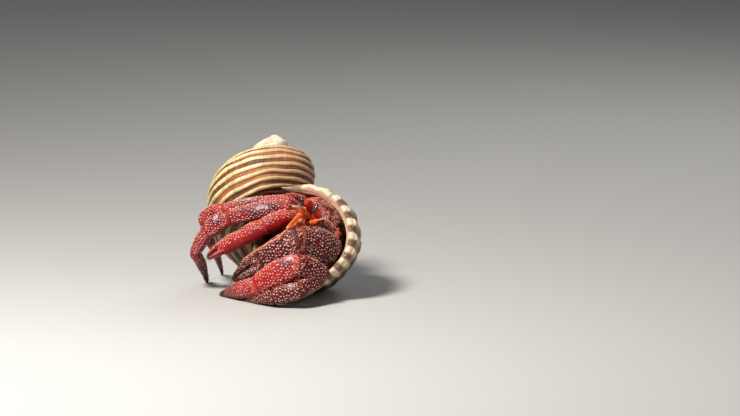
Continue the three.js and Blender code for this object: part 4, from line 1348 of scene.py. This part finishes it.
def build_eyes(stalk_finish, cornea_finish):
    """On each side a stout stalk with a small scale under it, and an upright oval cornea at its tip."""
    for side, (base, middle, tip, lean, shade_strength) in EYES.items():
        base, middle, tip = np.array(base), np.array(middle), np.array(tip)
        axes = direction(0, 90 - lean), direction(0, -lean), direction(-90, 0)
        cornea = tube(ball_points(tip, axes, CORNEA_RADII, CORNEA_ROWS, CORNEA_SIDES))
        piece(f"cornea_{side}", [cornea], cornea_finish, "eye", f"eye_{side}")
        surfaces = [stalk_surface(base, middle, tip, shade_strength), scale_surface(base, middle)]
        piece(f"eyestalk_{side}_skin", surfaces, stalk_finish, "stalk", f"eyestalk_{side}")


def build_feelers(finish):
    """Antennules and antennae as jointed rods, and their whips as long thin ones with pale bands."""
    for name, (knots, first, last, joints) in FEELERS.items():
        whip = "whip" in name
        sides, waist = (WHIP_SIDES, WHIP_WAIST) if whip else (FEELER_SIDES, FEELER_WAIST)
        points, share = jointed_rod(knots, first, last, joints, sides, waist)
        band = 0.5 + 0.5 * np.cos(2 * np.pi * joints * share)
        pale = WHIP_PALE * band * whip
        if name == "antennule_right":
            pale = PALE_TIP * smooth((share - PALE_FROM) / PALE_OVER)
        piece(f"{name}_skin", [tube(points, rise=pale)], finish, "feeler", name)


def build_mouthparts(finish):
    """Two palps side by side, each of four short plates with a fringe of bristles."""
    rows = np.linspace(0, 1, PALP_ROWS)
    u, turn = np.meshgrid(rows, np.arange(PALP_SIDES) * 360 / PALP_SIDES, indexing="ij")
    cap = round_ends(rows, PALP_ROUND, PALP_ROUND)[:, None]
    pale = PALP_PALE * bell((u - 0.5) / PALP_PALE_OVER)
    surfaces = []
    for side in (-1, 1):
        knots = PALP_KNOTS + side * PALP_APART * LEFTWARD * PALP_CLOSING[:, None]
        for start, end, radius in zip(knots, knots[1:], PALP_RADII):
            girths = radius, radius * PALP_MIDDLE, radius * PALP_END
            segment = Segment(start, end, *girths, PALP_FLATNESS, 0.0)
            surfaces.append(tube(segment.point(u, turn, cap), rise=pale))
            surfaces.append(bristle_surface(segment, *PALP_BRISTLES))
    piece("mouth_palps", surfaces, finish, "mouthparts", "mouthparts")


def build_hind_legs(finish):
    """The small fourth legs, of two tapering plates each with their beads and bristles."""
    girths = np.linspace(*HIND_LEG_RADII, 5)
    for name, knots in HIND_LEGS.items():
        knots = np.array(knots)
        surfaces = []
        for start, end, first in zip(knots, knots[1:], (0, 2)):
            segment = Segment(start, end, *girths[first:first + 3], 1.0, 0.0)
            surfaces.append(plate_surface(name, segment, PLATE_ROWS, HIND_LEG_SHADE))
            surfaces.append(bead_field(name, segment, *HIND_LEG_BEADS))
            surfaces.append(bristle_surface(segment, *HIND_LEG_BRISTLES))
        piece(f"{name}_skin", surfaces, finish, "leg", name)


# ---------------------------------------------------------------- camera, light and floor

CAMERA_TILT = 10.0              # degrees that it looks down
CAMERA_FAR = 2280.0
CAMERA_LENS, CAMERA_SENSOR = 300.0, 36.0
CAMERA_AIM = np.array([34.4, 2.3, 31.2])    # the middle of its view
CLIP_METRES = 10.0
FLOOR_HALF, FLOOR_CORNERS = 3000.0, ((-1, -1), (1, -1), (1, 1), (-1, 1))
FLOOR_GREY, FLOOR_ROUGHNESS = (0.5, 0.495, 0.48), 0.85
SKY_BLUE, SKY_STRENGTH = (0.9, 0.93, 1.0), 0.1
LIGHT_AIM = np.array([0.0, 0.0, 25.0])
# Each light: azimuth, elevation, how far it is, how wide, watts and colour.
LIGHTS = {
    "key": (-128.0, 50.0, 500.0, 120.0, 4.3, (1.0, 0.96, 0.9)),
    "fill": (-40.0, 25.0, 600.0, 400.0, 0.3, (0.9, 0.95, 1.0)),
    "back": (60.0, 40.0, 600.0, 300.0, 0.8, (1.0, 0.98, 0.95)),
}


def placed(name, data, location, rotation=(0.0, 0.0, 0.0)):
    """A new object in the scene, at a place in millimetres and turned by degrees."""
    made = bpy.data.objects.new(name, data)
    made.location = np.array(location) * MM
    made.rotation_euler = np.array(rotation) * DEG
    bpy.context.scene.collection.objects.link(made)
    return made


def build_camera():
    """A long lens that looks along +Y and a little down at the crab."""
    lens = bpy.data.cameras.new("camera")
    lens.lens = CAMERA_LENS
    lens.sensor_width = CAMERA_SENSOR
    lens.clip_end = CLIP_METRES
    location = CAMERA_AIM - CAMERA_FAR * direction(90.0, -CAMERA_TILT)
    camera = placed("camera", lens, location, (90.0 - CAMERA_TILT, 0.0, 0.0))
    bpy.context.scene.camera = camera


def build_lights():
    """Square soft lights that look at the middle of the crab, under a faint sky."""
    for name, (azimuth, elevation, far, size, watts, tint) in LIGHTS.items():
        lamp = bpy.data.lights.new(name, "AREA")
        lamp.size = size * MM
        lamp.energy = watts
        lamp.color = tint
        location = LIGHT_AIM + far * direction(azimuth, elevation)
        placed(name, lamp, location, (90.0 - elevation, 0.0, azimuth + 90.0))
    sky = bpy.data.worlds.new("studio")
    sky.use_nodes = True
    background = sky.node_tree.nodes["Background"]
    background.inputs["Color"].default_value = colour(SKY_BLUE)
    background.inputs["Strength"].default_value = SKY_STRENGTH
    bpy.context.scene.world = sky
    bpy.context.scene.view_settings.view_transform = "Standard"


def build_floor():
    """A pale square on the ground."""
    mesh = bpy.data.meshes.new("floor")
    corners = [(x * FLOOR_HALF * MM, y * FLOOR_HALF * MM, 0.0) for x, y in FLOOR_CORNERS]
    mesh.from_pydata(corners, [], [(0, 1, 2, 3)])
    mesh.materials.append(Nodes("pale_floor").finish(colour(FLOOR_GREY), FLOOR_ROUGHNESS))
    floor = placed("floor", mesh, (0.0, 0.0, 0.0))


# Plates: bright and dark tone (painted shade darkens them towards the dark one), the colour of their
# beads, and roughness. Soft parts: two tones, roughness, blotches to a millimetre, and relief.
LEG = plate_finish("leg_plate", (0.37, 0.005, 0.008), (0.05, 0.001, 0.002), (0.86, 0.48, 0.42), 0.34)
CLAW = plate_finish("claw_plate", (0.25, 0.004, 0.005), (0.03, 0.0007, 0.001), (0.86, 0.56, 0.5), 0.46)
SHIELD = plate_finish("shield_plate", (0.36, 0.008, 0.006), (0.05, 0.001, 0.002), (0.84, 0.42, 0.35), 0.4)
SKIN = soft_finish("joint_skin", (0.25, 0.03, 0.01), (0.6, 0.14, 0.04), 0.5)
STALK = soft_finish("eyestalk", (0.36, 0.005, 0.004), (0.72, 0.045, 0.01), 0.32, 0.6, 0.03)
FEELER = soft_finish("feeler", (0.62, 0.06, 0.012), (0.85, 0.2, 0.05), 0.34, 0.7, 0.04)
PALP = soft_finish("palp", (0.45, 0.05, 0.012), (0.78, 0.2, 0.045), 0.42, 0.8, 0.05)

build_camera()
build_lights()
build_floor()
build_shell(shell_finish())
build_limbs(LEG, CLAW)
build_shield(SHIELD)
build_soft_body(SKIN)
build_eyes(STALK, eye_finish())
build_feelers(FEELER)
build_mouthparts(PALP)
build_hind_legs(LEG)
